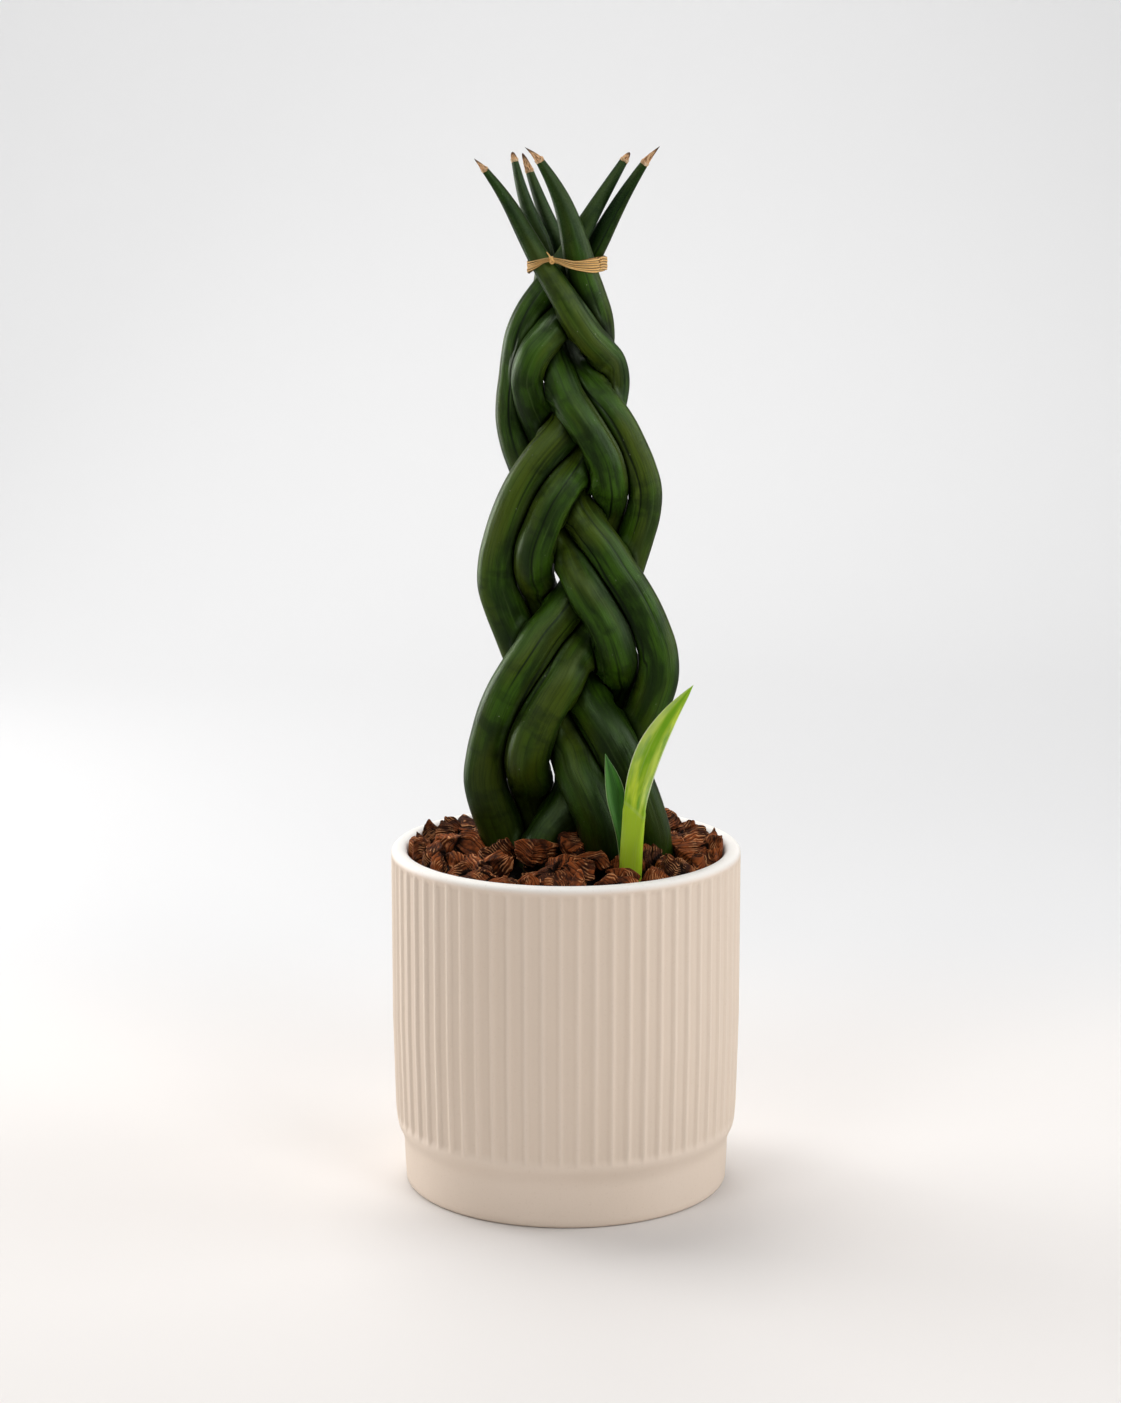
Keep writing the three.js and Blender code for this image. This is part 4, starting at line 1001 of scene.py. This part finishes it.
def raffia_cord(line, reach, twist):
    """A twisted cord of raffia with tapered ends, closed at both."""
    side, front = frames_along(line, np.array([0.31, -0.9, 0.3]))
    bearing = bearings(CORD_AROUND)
    t = np.linspace(0, 1, len(line))
    lobes = 1 + 0.2 * np.cos(3 * bearing[None] + twist * t[:, None])
    wide = np.broadcast_to(reach, len(line))[:, None] * lobes
    points = rings_along(line, side, front, wide * np.sin(bearing), wide * np.cos(bearing))
    places = np.stack(np.broadcast_arrays(bearing * 1.2, t[:, None] * 6, 0.0), -1)
    every = np.vstack([points.reshape(-1, 3), line[:1], line[-1:]])
    places = np.vstack([places.reshape(-1, 3), [[0, 0, 0], [0, 6, 0]]])
    return every, places, tube_faces(len(line), CORD_AROUND)


taper = np.sin(np.pi * np.linspace(0.06, 0.94, TURN_POINTS)) ** 0.5
add_to_tie(*raffia_cord(knot_turn(0.2, 0.9, 1.0, 0.8, -2.4, 5.2, 0.2), 0.5 * taper, 9))
add_to_tie(*raffia_cord(knot_turn(-0.4, -1.2, 0.85, 0.95, -2.0, 4.6, -0.4), 0.42 * taper, 7))
t = np.linspace(0, 1, 26)[:, None]
stub_reach = 0.5 * (1 - 0.6 * t[:, 0])
stub = knot_middle - knot_side * (1.6 * t + 0.5 * t**2) + (0, 0, 1) * (3.2 * t)
stub = stub + outwards[0] * (0.9 * np.sin(2.4 * t))
add_to_tie(*raffia_cord(stub, stub_reach, 5))
loop_turn = np.pi * (0.15 + 1.7 * t)
loop = knot_middle + knot_side * (0.9 * np.sin(loop_turn) + 0.3) - (0, 0, 1) * (0.9 - 0.9 * np.cos(loop_turn))
loop = loop + outwards[0] * (0.5 * np.sin(np.pi * t))
add_to_tie(*raffia_cord(loop, 0.32, 4))
tie = add_piece("raffia_binding", np.vstack(tie_points), tie_faces, [raffia], "raffia_tie")
keep(tie, "strands", np.vstack(tie_strands))

# ---- Floor, light and camera ----
# A sheet of off-white paper that lies under the pot and sweeps up behind it, six soft lights (the
# largest above and behind, two weak ones in front, two panels beside and a wash on the backdrop), a
# pale room around them and the camera.

SWEEP_BACK = 2.4
SWEEP_CURVE = 1.2
SWEEP_HALF = 3.4
FLOOR_WARM = (0.745, 0.722, 0.708)
FLOOR_FAR = (0.690, 0.692, 0.700)
BACKDROP = (0.90, 0.903, 0.91)

start = SWEEP_BACK - SWEEP_CURVE
ground = [(-3.4, 0.0), (-1.0, 0.0), (0.0, 0.0), (start, 0.0)]
arc = np.linspace(0, np.pi / 2, 24)[1:]
ground += [(start + SWEEP_CURVE * math.sin(a), SWEEP_CURVE * (1 - math.cos(a))) for a in arc]
ground += [(SWEEP_BACK, 3.2)]
sheet_points = [(x, y, z) for y, z in ground for x in (-SWEEP_HALF, SWEEP_HALF)]
sheet_faces = [(2 * k, 2 * k + 1, 2 * k + 3, 2 * k + 2) for k in range(len(ground) - 1)]
sheet_mesh = bpy.data.meshes.new("paper_sweep")
sheet_mesh.from_pydata(sheet_points, [], sheet_faces)
sheet_mesh.shade_smooth()
sheet = bpy.data.objects.new("paper_sweep", sheet_mesh)
bpy.context.collection.objects.link(sheet)
paper_white, tree, shader = new_finish("paper_white", 0.9, 0.1)
back = axis_of(tree, object_place(tree), "Y")
white = tint(tree, FLOOR_WARM, FLOOR_FAR, back, 0.12, 0.45)
white = tint(tree, white, BACKDROP, back, 0.6, 2.0)
tree.links.new(white, shader.inputs["Base Color"])
sheet_mesh.materials.append(paper_white)
sheet.visible_glossy = False

room = bpy.data.worlds.new("pale_room")
room.use_nodes = True
sky = room.node_tree.nodes["Background"].inputs
sky["Color"].default_value = (1.0, 1.0, 1.0, 1.0)
sky["Strength"].default_value = 0.18
bpy.context.scene.world = room

# where each light stands, what it is aimed at, its width and height, its power and its colour
LIGHTS = {
    "softbox_above": ((-0.42, 0.85, 2.35), (0, 0, 0.2), 1.6, 1.3, 36, (1.0, 0.99, 0.975)),
    "softbox_right": ((0.85, -1.25, 1.2), (0, 0, 0.25), 0.55, 0.9, 8, (1.0, 0.99, 0.98)),
    "softbox_left": ((-0.72, -1.0, 1.35), (0, 0, 0.35), 0.5, 0.8, 4.6, (1.0, 0.988, 0.97)),
    "panel_right": ((1.25, 0.0, 0.6), (0, 0, 0.15), 0.7, 1.1, 7, (0.98, 0.99, 1.0)),
    "panel_left": ((-1.15, 0.6, 0.38), (0, 0, 0.2), 0.7, 0.65, 10.5, (1.0, 0.985, 0.965)),
    "backdrop_wash": ((0, 0.5, 2.6), (0, 2.4, 0.7), 3.4, 0.6, 11.6, (0.985, 0.99, 1.0)),
}
for name, (place, aim, width, height, power, colour) in LIGHTS.items():
    lamp = bpy.data.lights.new(name, "AREA")
    lamp.shape = "RECTANGLE"
    lamp.size, lamp.size_y = width, height
    lamp.energy = power
    lamp.color = colour
    light = bpy.data.objects.new(name, lamp)
    light.location = place
    light.rotation_euler = (Vector(aim) - Vector(place)).to_track_quat("-Z", "Y").to_euler()
    bpy.context.collection.objects.link(light)

camera_data = bpy.data.cameras.new("studio_camera")
camera_data.sensor_fit = "VERTICAL"
camera_data.sensor_height = 36
camera_data.lens = 3256 / 1403 * 36
camera = bpy.data.objects.new("studio_camera", camera_data)
camera.location = (-0.0025, -1.45, 0.516)
camera.rotation_euler = (math.radians(90 - 11.35), 0, 0)
bpy.context.collection.objects.link(camera)
bpy.context.scene.camera = camera
bpy.context.scene.view_settings.view_transform = "Standard"
